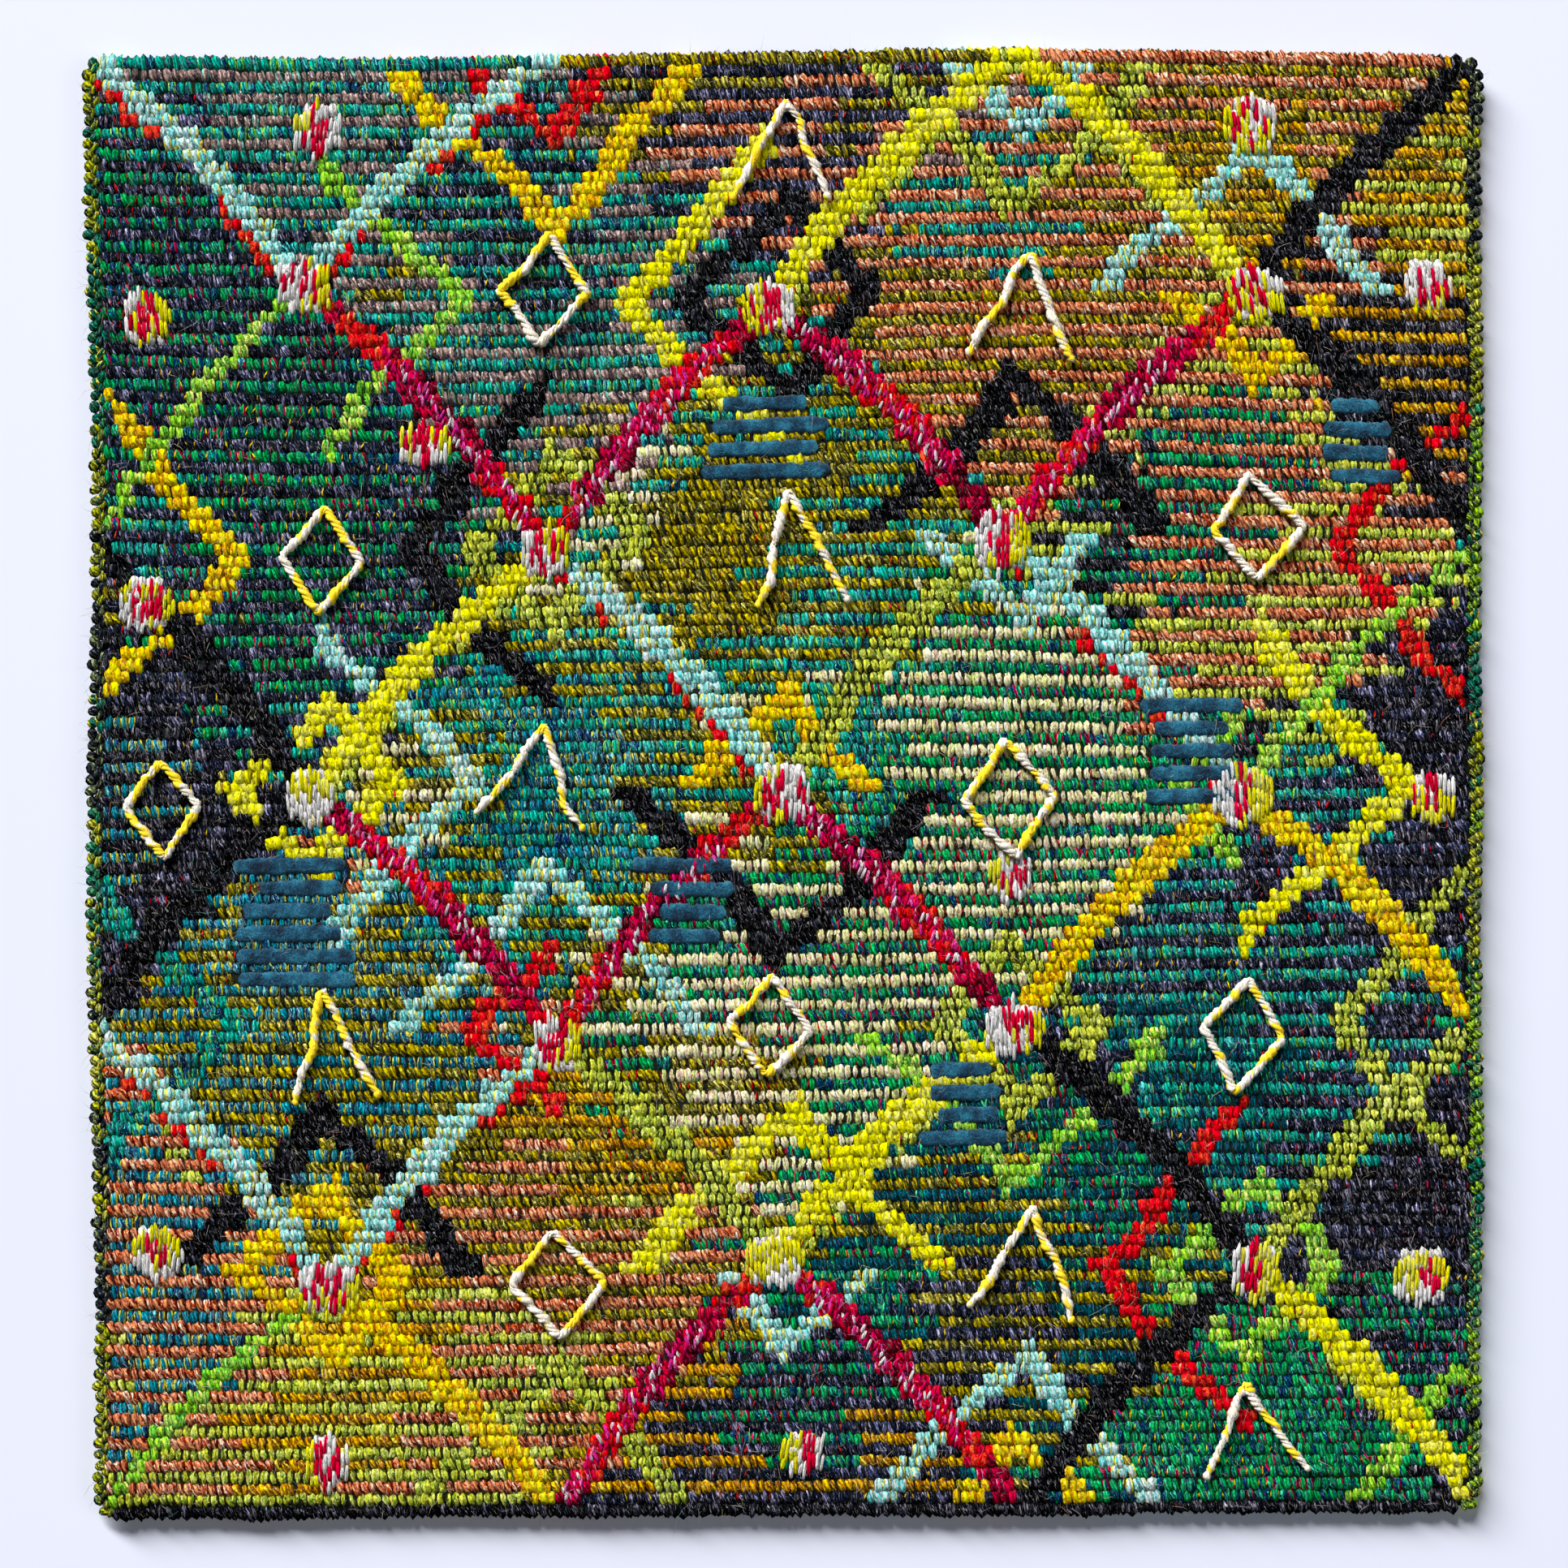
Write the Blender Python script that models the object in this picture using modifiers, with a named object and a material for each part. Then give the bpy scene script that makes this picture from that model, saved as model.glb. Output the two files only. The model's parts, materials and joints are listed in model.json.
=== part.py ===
"""Handwoven wool tapestry that hangs by its top edge.

It is woven sideways: the warps lie level across the piece, one rib of the cloth for each, and the
wool weft runs up and down between them. Its two upright edges, where the warps end, are bound with
a row of knots. Outlines of thick twisted wool lie on its face.

Origin: the middle of the top edge, half way through the cloth. +X right, +Z up, the face looks
along -Y. Sizes in metres.
"""

import math

import bmesh
import bpy

# Cloth
WARP_PITCH = 0.003175  # eight warps to the inch
WARP_COUNT = 127
TOP_WIDTH = 0.3840  # over the bound edges
HEIGHT = WARP_PITCH * WARP_COUNT
THICKNESS = 0.0034  # from rib to rib
GROOVE = 0.0006  # how deep the line between two ribs lies, front and back
SELVEDGE_SHARE = 0.4  # thickness left at the rounded top and bottom edges
CLOTH_COLUMNS = 6  # straight stretches of each rib

# How the outline departs from a rectangle
LEFT_LEAN = 0.0020  # the left edge runs inwards by this on its way down
RIGHT_LEAN = 0.0003
LEFT_WAVE, LEFT_WAVE_LENGTH, LEFT_WAVE_START = 0.0009, 0.55, 0.30
RIGHT_WAVE, RIGHT_WAVE_LENGTH, RIGHT_WAVE_START = 0.0004, 0.27, 0.10
TOP_BOW, TOP_BOW_START = 0.0012, 0.42
BOTTOM_LIFT = 0.0020  # the bottom edge is this much higher on its right
CORNER = 0.0055  # radius of the rounded corners

# How the face departs from a plane and the ribs from straight lines
RIB_WANDER = 0.0011
RIB_WAVES_ACROSS, RIB_WAVES_DOWN = 1.3, 1.7
COCKLE = 0.0005
COCKLE_WAVES_ACROSS, COCKLE_START_ACROSS, COCKLE_WAVES_DOWN = 1.2, 0.1, 1.1
EDGE_EASE = 0.0014  # the bottom edge leans back by this
EDGE_EASE_HEIGHT = 0.0100

# Bound edges
GAP = 0.0003
KNOT_RADIUS = 0.0014
KNOT_WAIST = 0.0010  # between two knots

# Raised outlines
OUTLINE_RADIUS = 0.0011
DIAMOND_POINTS = 12
CHEVRON_POINTS = 3

# name, middle across, middle below the top edge, width, height, lean in degrees
DIAMONDS = (
    ("raised_diamond_1", -0.066, 0.064, 0.024, 0.031, 4),
    ("raised_diamond_2", 0.130, 0.131, 0.026, 0.028, -6),
    ("raised_diamond_3", -0.127, 0.138, 0.022, 0.030, 3),
    ("raised_diamond_4", 0.062, 0.205, 0.025, 0.033, -3),
    ("raised_diamond_5", -0.004, 0.268, 0.023, 0.028, 5),
    ("raised_diamond_6", -0.062, 0.339, 0.026, 0.030, -4),
    ("raised_diamond_7", 0.126, 0.272, 0.022, 0.032, 6),
    ("raised_diamond_8", -0.171, 0.207, 0.021, 0.027, -2),
)
CHEVRONS = (
    ("raised_chevron_1", 0.066, 0.070, 0.026, 0.029, 7),
    ("raised_chevron_2", 0.003, 0.137, 0.024, 0.031, -5),
    ("raised_chevron_3", -0.068, 0.199, 0.028, 0.027, 10),
    ("raised_chevron_4", -0.125, 0.273, 0.023, 0.030, -8),
    ("raised_chevron_5", 0.067, 0.333, 0.027, 0.028, 5),
    ("raised_chevron_6", 0.000, 0.026, 0.025, 0.025, 3),
    ("raised_chevron_7", 0.128, 0.379, 0.026, 0.025, -6),
)

# name: base colour, roughness
FINISHES = {
    "woven_wool": ((0.20, 0.20, 0.10), 0.95),
    "knotted_wool": ((0.08, 0.12, 0.10), 0.95),
    "outline_wool": ((0.82, 0.78, 0.62), 0.90),
}


def wave(height, length, start, at):
    """A sine of this height and length, in shares of an edge, that starts at start."""
    return height * math.sin(2 * math.pi * (at / length - start))


def corner_inset(distance):
    """How far the outline draws in, this far from the end of an edge."""
    short = max(CORNER - distance, 0.0)
    return CORNER - math.sqrt(CORNER**2 - short**2)


def left_edge(down):
    """X of the left outline at this share of the height."""
    from_end = min(down, 1 - down) * HEIGHT
    lean = LEFT_LEAN * down + wave(LEFT_WAVE, LEFT_WAVE_LENGTH, LEFT_WAVE_START, down)
    return -TOP_WIDTH / 2 + lean + corner_inset(from_end)


def right_edge(down):
    """X of the right outline at this share of the height."""
    from_end = min(down, 1 - down) * HEIGHT
    lean = RIGHT_LEAN * down + wave(RIGHT_WAVE, RIGHT_WAVE_LENGTH, RIGHT_WAVE_START, down)
    return TOP_WIDTH / 2 - lean - corner_inset(from_end)


def level(across, down):
    """Z of the rib at this share of the height, where it is this share across."""
    bow = wave(TOP_BOW, 1.0, TOP_BOW_START, across) - wave(TOP_BOW, 1.0, TOP_BOW_START, 0.5)
    turns = RIB_WAVES_ACROSS * across + RIB_WAVES_DOWN * down
    wander = RIB_WANDER * math.sin(math.pi * down) * math.sin(2 * math.pi * turns)
    return bow * (1 - down) - HEIGHT * down + BOTTOM_LIFT * across * down + wander


def depth(across, down):
    """Y of the middle of the cloth, which cockles a little and leans back at its foot."""
    turns_across = COCKLE_WAVES_ACROSS * across + COCKLE_START_ACROSS
    turns_down = COCKLE_WAVES_DOWN * down
    cockle = COCKLE * math.sin(2 * math.pi * turns_across) * math.sin(2 * math.pi * turns_down)
    from_foot = (1 - down) * HEIGHT
    ease = max(1 - from_foot / EDGE_EASE_HEIGHT, 0.0)
    return cockle + EDGE_EASE * ease**2


def across_at(x, down):
    """The share across at which this x lies."""
    return (x - left_edge(down)) / (right_edge(down) - left_edge(down))


def finish(name):
    """The plain material of this name, made once."""
    if name not in bpy.data.materials:
        colour, roughness = FINISHES[name]
        material = bpy.data.materials.new(name)
        material.use_nodes = True
        shader = material.node_tree.nodes["Principled BSDF"]
        shader.inputs["Base Color"].default_value = (*colour, 1)
        shader.inputs["Roughness"].default_value = roughness
        shader.inputs["Metallic"].default_value = 0.0
    return bpy.data.materials[name]


def woven_cloth(collection):
    """The cloth: a grid made thick, whose rows are the ribs and the grooves between them."""
    rows = 2 * WARP_COUNT
    mesh = bpy.data.meshes.new("flat_grid")
    bm = bmesh.new()
    bmesh.ops.create_grid(bm, x_segments=CLOTH_COLUMNS, y_segments=rows, size=0.5)
    bm.to_mesh(mesh)
    bm.free()
    flat = bpy.data.objects.new("flat_grid", mesh)
    collection.objects.link(flat)
    solidify = flat.modifiers.new("Thickness", "SOLIDIFY")
    solidify.thickness = THICKNESS
    solidify.offset = 0.0
    bpy.context.view_layer.update()
    evaluated = flat.evaluated_get(bpy.context.evaluated_depsgraph_get())
    thick = bpy.data.meshes.new_from_object(evaluated)
    thick.name = "cloth"
    bpy.data.objects.remove(flat)
    bpy.data.meshes.remove(mesh)

    bound = 2 * KNOT_RADIUS + GAP
    for vertex in thick.vertices:
        share = vertex.co.x + 0.5
        down = 0.5 - vertex.co.y
        row = round(down * rows)
        side = -1 if vertex.co.z > 0 else 1
        left, right = left_edge(down) + bound, right_edge(down) - bound
        x = left + (right - left) * share
        across = across_at(x, down)
        if row in (0, rows):
            half = THICKNESS / 2 * SELVEDGE_SHARE
        elif row % 2 == 0:
            half = THICKNESS / 2 - GROOVE
        else:
            half = THICKNESS / 2
        vertex.co = (x, depth(across, down) + side * half, level(across, down))
    thick.shade_smooth()
    thick.materials.append(finish("woven_wool"))
    cloth = bpy.data.objects.new("cloth", thick)
    collection.objects.link(cloth)
    return cloth


def tube(name, points, radii, closed, material, collection):
    """A tube through these points, with six sides."""
    curve = bpy.data.curves.new(name, "CURVE")
    curve.dimensions = "3D"
    curve.bevel_depth = 1.0
    curve.bevel_resolution = 1
    curve.use_fill_caps = True
    spline = curve.splines.new("POLY")
    spline.points.add(len(points) - 1)
    for point, place, radius in zip(spline.points, points, radii):
        point.co = (*place, 1)
        point.radius = radius
    spline.use_cyclic_u = closed
    spline.use_smooth = True
    curve.materials.append(finish(material))
    piece = bpy.data.objects.new(name, curve)
    collection.objects.link(piece)
    return piece


def bound_edge(name, edge, inwards, collection):
    """One knot for each warp, down an upright edge."""
    points, radii = [], []
    for row in range(1, 2 * WARP_COUNT):
        down = row / (2 * WARP_COUNT)
        x = edge(down) + inwards * KNOT_RADIUS
        across = across_at(x, down)
        points.append((x, depth(across, down), level(across, down)))
        radii.append(KNOT_WAIST if row % 2 == 0 else KNOT_RADIUS)
    return tube(name, points, radii, False, "knotted_wool", collection)


def diamond_path(width, height):
    """(across, down) from the middle of a diamond, round its four sides."""
    path = []
    for index in range(DIAMOND_POINTS):
        turn = 2 * math.pi * index / DIAMOND_POINTS
        reach = 1 / (abs(math.cos(turn)) + abs(math.sin(turn)))
        path.append((width / 2 * reach * math.cos(turn), height / 2 * reach * math.sin(turn)))
    return path


def chevron_path(width, height):
    """(across, down) from the middle of a chevron, from its left foot over its tip to its right."""
    path = []
    for index in range(CHEVRON_POINTS):
        share = index / (CHEVRON_POINTS - 1)
        path.append((width * (share - 0.5), height / 2 if index % 2 == 0 else -height / 2))
    return path


def raised_outline(name, path, middle_x, middle_down, lean, closed, collection):
    """Thick twisted wool that lies on the ribs along this path."""
    turn = math.radians(lean)
    points = []
    for offset_x, offset_down in path:
        x = middle_x + offset_x * math.cos(turn) - offset_down * math.sin(turn)
        down = (middle_down + offset_x * math.sin(turn) + offset_down * math.cos(turn)) / HEIGHT
        across = across_at(x, down)
        front = depth(across, down) - THICKNESS / 2
        points.append((x, front - GAP - OUTLINE_RADIUS, level(across, down)))
    return tube(name, points, [OUTLINE_RADIUS] * len(points), closed, "outline_wool", collection)


def main():
    for thing in list(bpy.data.objects):
        bpy.data.objects.remove(thing)
    collection = bpy.data.collections.new("handwoven_tapestry")
    bpy.context.scene.collection.children.link(collection)

    woven_cloth(collection)
    bound_edge("left_knots", left_edge, 1, collection)
    bound_edge("right_knots", right_edge, -1, collection)
    for name, x, down, width, height, lean in DIAMONDS:
        raised_outline(name, diamond_path(width, height), x, down, lean, True, collection)
    for name, x, down, width, height, lean in CHEVRONS:
        raised_outline(name, chevron_path(width, height), x, down, lean, False, collection)


main()
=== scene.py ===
# %% [markdown]
# # A handwoven wool tapestry
#
# The real piece is weft-faced: warps lie level across it, and the wool weft passes over one warp
# and under the next until it hides them all. Every pass over a warp shows as one small bead of
# wool. This lesson builds those beads one by one, gives each yarn its own piece and its own
# marled wool, and hangs the whole on the plain solids that give the cloth its size.

# %% Load the solids
import json
import math
from collections import namedtuple
from functools import partial

import bmesh
import bpy
import numpy as np
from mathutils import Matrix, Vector

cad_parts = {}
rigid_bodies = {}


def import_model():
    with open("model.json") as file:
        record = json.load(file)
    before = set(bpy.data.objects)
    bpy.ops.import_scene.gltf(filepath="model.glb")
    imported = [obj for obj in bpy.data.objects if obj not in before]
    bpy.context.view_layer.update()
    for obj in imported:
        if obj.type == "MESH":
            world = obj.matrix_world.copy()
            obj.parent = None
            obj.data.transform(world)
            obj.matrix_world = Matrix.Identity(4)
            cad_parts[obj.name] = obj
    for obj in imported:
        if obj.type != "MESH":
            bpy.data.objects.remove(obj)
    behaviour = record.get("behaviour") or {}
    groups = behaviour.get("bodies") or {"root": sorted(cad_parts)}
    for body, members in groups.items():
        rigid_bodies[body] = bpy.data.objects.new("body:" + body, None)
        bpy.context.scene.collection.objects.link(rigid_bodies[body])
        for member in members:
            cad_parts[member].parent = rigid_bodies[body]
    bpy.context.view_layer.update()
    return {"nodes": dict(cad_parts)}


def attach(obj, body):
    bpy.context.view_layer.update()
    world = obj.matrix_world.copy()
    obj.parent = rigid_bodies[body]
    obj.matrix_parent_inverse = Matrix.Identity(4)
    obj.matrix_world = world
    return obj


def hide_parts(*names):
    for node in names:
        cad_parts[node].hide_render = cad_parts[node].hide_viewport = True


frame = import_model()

chance = np.random.default_rng(2719)
print("Nodes to dress:", len(frame["nodes"]))

# %% [markdown]
# ## The shape of the hanging cloth
#
# No edge of a handwoven piece is straight. The solids follow a few named waves, and the beads
# have to lie on the same waves, so the formulas are repeated here for whole arrays of points at
# once. A lattice or a shrinkwrap modifier could bend a flat cloth too, but a formula lets every
# bead be placed where it belongs from the start.

# %% Sizes of the cloth, in metres
WARP_PITCH = 0.003175
WARP_COUNT = 127
TOP_WIDTH = 0.3840
HEIGHT = WARP_PITCH * WARP_COUNT
THICKNESS = 0.0034
LEFT_LEAN = 0.0020
RIGHT_LEAN = 0.0003
LEFT_WAVE, LEFT_WAVE_LENGTH, LEFT_WAVE_START = 0.0009, 0.55, 0.30
RIGHT_WAVE, RIGHT_WAVE_LENGTH, RIGHT_WAVE_START = 0.0004, 0.27, 0.10
TOP_BOW, TOP_BOW_START = 0.0012, 0.42
BOTTOM_LIFT = 0.0020
CORNER = 0.0055
RIB_WANDER = 0.0011
RIB_WAVES_ACROSS, RIB_WAVES_DOWN = 1.3, 1.7
COCKLE = 0.0005
COCKLE_WAVES_ACROSS, COCKLE_START_ACROSS, COCKLE_WAVES_DOWN = 1.2, 0.1, 1.1
EDGE_EASE = 0.0014
EDGE_EASE_HEIGHT = 0.0100
GAP = 0.0003
KNOT_RADIUS = 0.0014
OUTLINE_RADIUS = 0.0011
BINDING = 2 * KNOT_RADIUS + GAP


# %% The waves of its edges and of its face
def wave(height, length, start, at):
    """A sine of this height and length, in shares of an edge, that starts at start."""
    return height * np.sin(2 * np.pi * (at / length - start))


def corner_inset(distance):
    """How far the outline draws in, this far from the end of an edge."""
    short = np.maximum(CORNER - distance, 0.0)
    return CORNER - np.sqrt(CORNER**2 - np.minimum(short, CORNER) ** 2)


def left_edge(down):
    """X of the left outline at this share of the height."""
    lean = LEFT_LEAN * down + wave(LEFT_WAVE, LEFT_WAVE_LENGTH, LEFT_WAVE_START, down)
    return -TOP_WIDTH / 2 + lean + corner_inset(np.minimum(down, 1 - down) * HEIGHT)


def right_edge(down):
    """X of the right outline at this share of the height."""
    lean = RIGHT_LEAN * down + wave(RIGHT_WAVE, RIGHT_WAVE_LENGTH, RIGHT_WAVE_START, down)
    return TOP_WIDTH / 2 - lean - corner_inset(np.minimum(down, 1 - down) * HEIGHT)


def level(across, down):
    """Z of the rib at this share of the height, where it is this share across."""
    bow = wave(TOP_BOW, 1.0, TOP_BOW_START, across) - wave(TOP_BOW, 1.0, TOP_BOW_START, 0.5)
    turns = RIB_WAVES_ACROSS * across + RIB_WAVES_DOWN * down
    wander = RIB_WANDER * np.sin(np.pi * down) * np.sin(2 * np.pi * turns)
    return bow * (1 - down) - HEIGHT * down + BOTTOM_LIFT * across * down + wander


def depth(across, down):
    """Y of the middle of the cloth."""
    turns_across = COCKLE_WAVES_ACROSS * across + COCKLE_START_ACROSS
    cockle = np.sin(2 * np.pi * turns_across) * np.sin(2 * np.pi * COCKLE_WAVES_DOWN * down)
    ease = np.maximum(1 - (1 - down) * HEIGHT / EDGE_EASE_HEIGHT, 0.0)
    return COCKLE * cockle + EDGE_EASE * ease**2


def on_cloth(x, down, out):
    """Points at this x and share of the height, this far in front of the middle of the cloth."""
    across = (x - left_edge(down)) / (right_edge(down) - left_edge(down))
    return np.stack([x, depth(across, down) - out, level(across, down)], axis=-1)


print("Cloth:", round(TOP_WIDTH * 1000), "by", round(HEIGHT * 1000), "mm")

# %% [markdown]
# ## Where the beads lie
#
# A weft that goes over this warp goes under the next one, so the beads of neighbouring ribs are
# half a bead apart, like bricks. The face shows the passes over, the back the passes under. With
# two yarns taken in turn, the first shows on the even ribs and the second on the odd ones, which
# gives the level stripes of this piece without any counting.

# %% One place for every bead
BEADS_ACROSS = 171
WIDE = TOP_WIDTH - 2 * BINDING
BEAD_PITCH = WIDE / (BEADS_ACROSS + 0.5)

rib, column = np.divmod(np.arange(WARP_COUNT * BEADS_ACROSS), BEADS_ACROSS)
odd = rib % 2 == 1
down = (rib + 0.5) / WARP_COUNT
share = (column + 0.5 + 0.5 * odd) / (BEADS_ACROSS + 0.5)
bead_x = left_edge(down) + BINDING + (right_edge(down) - left_edge(down) - 2 * BINDING) * share
# The chart is read in millimetres, from the middle of the top edge.
chart_x = (share - 0.5) * WIDE * 1000
chart_down = down * HEIGHT * 1000
print("Beads on the face:", len(rib), "each", round(BEAD_PITCH * 1000, 2), "mm wide")

# %% [markdown]
# ## The yarns
#
# A weft here is a bundle of fine strands. Each row below is one such weft: its main, second and
# third colour and that of a thin strand, then the shares of the second and the third, and how
# often the thin strand shows between two beads. The rest is shape and painted shade: how wide and
# long its beads are and how they lean, how many strands show across a bead, how far they slant
# along it, how much painted shade darkens it towards its sides, and how much of a lens it is. A
# rope stays light at its sides, with little painted shade there, and hardly narrows. A full lens
# is an oval by itself, and its strands keep to its middle.

# %% The yarn table
Yarn = namedtuple("Yarn", "main second third thin second_share third_share thin_share "
                          "width length lean strands slant groove lens")


def yarn_table(*rows):
    """Yarns by name, from rows of a name, four colours in one string, and the other values."""
    return {name: Yarn(*colours.split(), *values) for name, colours, *values in rows}


YARNS = yarn_table(
    ("terracotta", "D87C5A A8442A EEA68A 6A1E12", 0.32, 0.22, 0.55, 1.06, 1.18, 18, 2.4, 0.9, 0.65, 0.1),
    ("blue_marl", "14788C 84DCE6 0E264E E6DA50", 0.28, 0.32, 0.50, 0.96, 1.12, 6, 3.2, 0.7, 0.78, 0.5),
    ("navy", "0F131E 283250 747290 84809A", 0.30, 0.08, 0.14, 1.02, 1.16, 6, 3.4, 1.2, 0.75, 0.2),
    ("charcoal", "0B0C11 22242E 5C5A68 767280", 0.25, 0.08, 0.12, 1.04, 1.18, 8, 3.4, 1.2, 0.75, 0.2),
    ("olive", "9C8C22 D0C468 3E4008 2A2404", 0.30, 0.30, 0.50, 1.02, 1.12, 18, 2.4, 0.9, 0.70, 0.1),
    ("chartreuse", "A8B23E DEEC7C 647C20 34380A", 0.34, 0.18, 0.66, 1.10, 1.20, 8, 2.1, 0.4, 0.76, 1.0),
    ("teal", "0A907C 5CE2C8 0A2450 84D858", 0.32, 0.30, 0.28, 0.98, 1.14, 8, 3.2, 0.7, 0.78, 0.5),
    ("emerald", "108E48 4AD492 0A2850 B82448", 0.30, 0.36, 0.20, 0.98, 1.14, 8, 3.2, 0.7, 0.78, 0.5),
    ("taupe", "86706C D4BAB0 382C34 5C9A8C", 0.28, 0.30, 0.20, 1.00, 1.12, 10, 2.4, 0.7, 0.75, 0.5),
    ("cream", "DED8A2 E6BCAE B2C672 3A3420", 0.30, 0.24, 0.56, 1.10, 1.24, 6, 2.3, 0.4, 0.74, 1.0),
    ("lemon", "EEE62C F6F46E D2C818 B4A818", 0.30, 0.16, 0.22, 1.16, 1.26, 6, 1.8, 0.6, 0.34, 0.7),
    ("gold", "F8BC1A FCDC48 D28E10 C07C0C", 0.30, 0.18, 0.26, 1.16, 1.26, 8, 1.8, 0.6, 0.40, 0.7),
    ("aqua", "90E0D8 E0F6EE 54B8BC F0DA5C", 0.34, 0.20, 0.45, 1.08, 1.20, 4, 2.4, 0.8, 0.45, 0.6),
    ("crimson", "BA0A2E E83058 5C061C F07CA4", 0.30, 0.28, 0.26, 1.12, 1.26, 8, 2.4, 1.0, 0.50, 0.4),
    ("maroon", "6C0A20 A41434 30030C C82458", 0.30, 0.28, 0.20, 1.12, 1.26, 8, 2.4, 1.0, 0.50, 0.4),
    ("scarlet", "DE1C24 F45A44 A01018 F88A5A", 0.30, 0.20, 0.10, 1.12, 1.20, 2, 2.0, 0.5, 0.40, 0.5),
    ("white", "EAE6E2 F4F4F2 D8CCD2 F4DCE4", 0.30, 0.20, 0.20, 1.10, 1.30, 0, 2.2, 0.8, 0.45, 0.5),
    ("lime", "84D03C C8F278 3E8C2A E8F070", 0.34, 0.22, 0.30, 1.06, 1.18, 6, 2.4, 0.8, 0.55, 0.6),
    ("black", "060709 101116 2E2E38 3A3A48", 0.30, 0.06, 0.12, 1.06, 1.22, 8, 2.8, 1.2, 0.70, 0.2),
    ("dark_teal", "0A3C48 1C848A 08203A 44BC78", 0.30, 0.32, 0.26, 0.98, 1.14, 8, 3.2, 0.7, 0.78, 0.5),
    ("ochre", "D08E1C F6C650 74460E 5C3A08", 0.32, 0.24, 0.40, 1.02, 1.14, 18, 2.4, 0.9, 0.65, 0.1),
)
NAMES = list(YARNS)
print("Yarns:", len(NAMES))

# %% [markdown]
# ## The chart
#
# The design is a trellis: diagonal lines of bright wool cross on a lattice, each mesh of the
# lattice is filled with its own pair of yarns, and small stepped lozenges sit on the crossings.
# It could be drawn as a picture and read point by point, but a weaver works from a short list of
# counts, and so does this chart: two lists of fillings and one list of lines.

# %% The lattice and its fillings
LATTICE_WIDE, LATTICE_HIGH = 64.0, 67.2
# One line for each half step down the lattice, from left to right.
EVEN_RIBS = (
    ("teal", "olive", "terracotta"),
    ("emerald", "teal", "terracotta", "ochre"),
    ("emerald", "olive", "terracotta"),
    ("charcoal", "teal", "cream", "charcoal"),
    ("olive", "cream", "teal"),
    ("terracotta", "terracotta", "olive", "navy"),
    ("terracotta", "ochre", "emerald"),
)
ODD_RIBS = (
    ("taupe", "navy", "olive"),
    ("navy", "taupe", "olive", "charcoal"),
    ("navy", "teal", "chartreuse"),
    ("navy", "olive", "emerald", "navy"),
    ("blue_marl", "emerald", "navy"),
    ("blue_marl", "olive", "dark_teal", "charcoal"),
    ("chartreuse", "navy", "emerald"),
)


def mesh_of_lattice(x, down_mm):
    """Column and row of the lattice mesh that each place is in."""
    nearest = np.full(x.shape, 9.0)
    across = np.zeros(x.shape, int)
    along = np.zeros(x.shape, int)
    for i in range(-1, 8):
        for j in range(-1, 8):
            if (i + j) % 2 == 1:
                middle_x = (i - 3) * LATTICE_WIDE
                away = abs(x - middle_x) / LATTICE_WIDE + abs(down_mm - j * LATTICE_HIGH) / LATTICE_HIGH
                closer = away < nearest
                nearest[closer] = away[closer]
                across[closer] = i
                along[closer] = j
    return across.clip(0, 6), along.clip(0, 6)


def filling(chart, x, down_mm):
    """The number of the yarn that fills each place."""
    across, along = mesh_of_lattice(x, down_mm)
    yarns = np.zeros(x.shape, int)
    for j, names in enumerate(chart):
        numbers = np.array([NAMES.index(name) for name in names])
        here = along == j
        yarns[here] = numbers[np.minimum(across[here] // 2, len(names) - 1)]
    return yarns


print("Fillings of the even ribs:", sum(map(len, EVEN_RIBS)), "and of the odd ribs:", sum(map(len, ODD_RIBS)))

# %% [markdown]
# Where two fillings meet, the weaver lets long passes of one run into the other. So each rib is
# read a little to the left or right of its true place, and a few beads are read further off. The
# whole chart also swings slowly to and fro, because nobody counts a free design exactly.

# %% Fill the ground, with ragged borders
RAGGED = 12.0
STRAYS, STRAY_REACH = 0.07, 9.0
# A swing is its reach, its length and its start, in millimetres.
LONG_BEND, SHORT_BEND, RISE = (6, 31, 1), (3, 13, 0), (6, 37, 2)
PATCH_FROM = 0.42
PATCH_BEND, PATCH_RISE = (9, 19, 0), (8, 23, 0)
PATCH_WIDE, PATCH_HIGH = 21, 26


def swing(at, reach, length, start):
    """A slow swing to and fro."""
    return reach * np.sin(at / length + start)


def ragged_filling(chart, lean):
    """The filling of every bead, read with a shift for its rib and a stray bead here and there."""
    shift = chance.uniform(-RAGGED, RAGGED, WARP_COUNT)[rib]
    stray = (chance.random(rib.size) < STRAYS) * chance.normal(0, STRAY_REACH, rib.size)
    bend = lean * (swing(chart_down, *LONG_BEND) + swing(chart_down, *SHORT_BEND))
    x, down_mm = chart_x + bend + shift + stray, chart_down + lean * swing(chart_x, *RISE)
    # In patches that drift over the cloth the yarn of the next mesh is borrowed.
    patch = (swing(x + swing(down_mm, *PATCH_BEND), 1, PATCH_WIDE, lean)
             * swing(down_mm + swing(x, *PATCH_RISE), 1, PATCH_HIGH, 0))
    borrowed = filling(chart, x + lean * LATTICE_WIDE, down_mm + LATTICE_HIGH)
    return np.where(patch > PATCH_FROM, borrowed, filling(chart, x, down_mm))


yarn = np.where(odd, ragged_filling(ODD_RIBS, -1.0), ragged_filling(EVEN_RIBS, 1.0))
print("Yarns in the ground:", len(np.unique(yarn)))

# %% [markdown]
# The lines of the trellis are laid over the ground. Each is a band between two crossings, a
# little bowed and thicker in its middle, and its edge steps from rib to rib as a woven diagonal
# must. Some have a thin second line beside them, in the yarn that EDGED gives. The crimson ones
# change to scarlet and to maroon and back, as a weaver changes the bundle on a long line.

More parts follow.
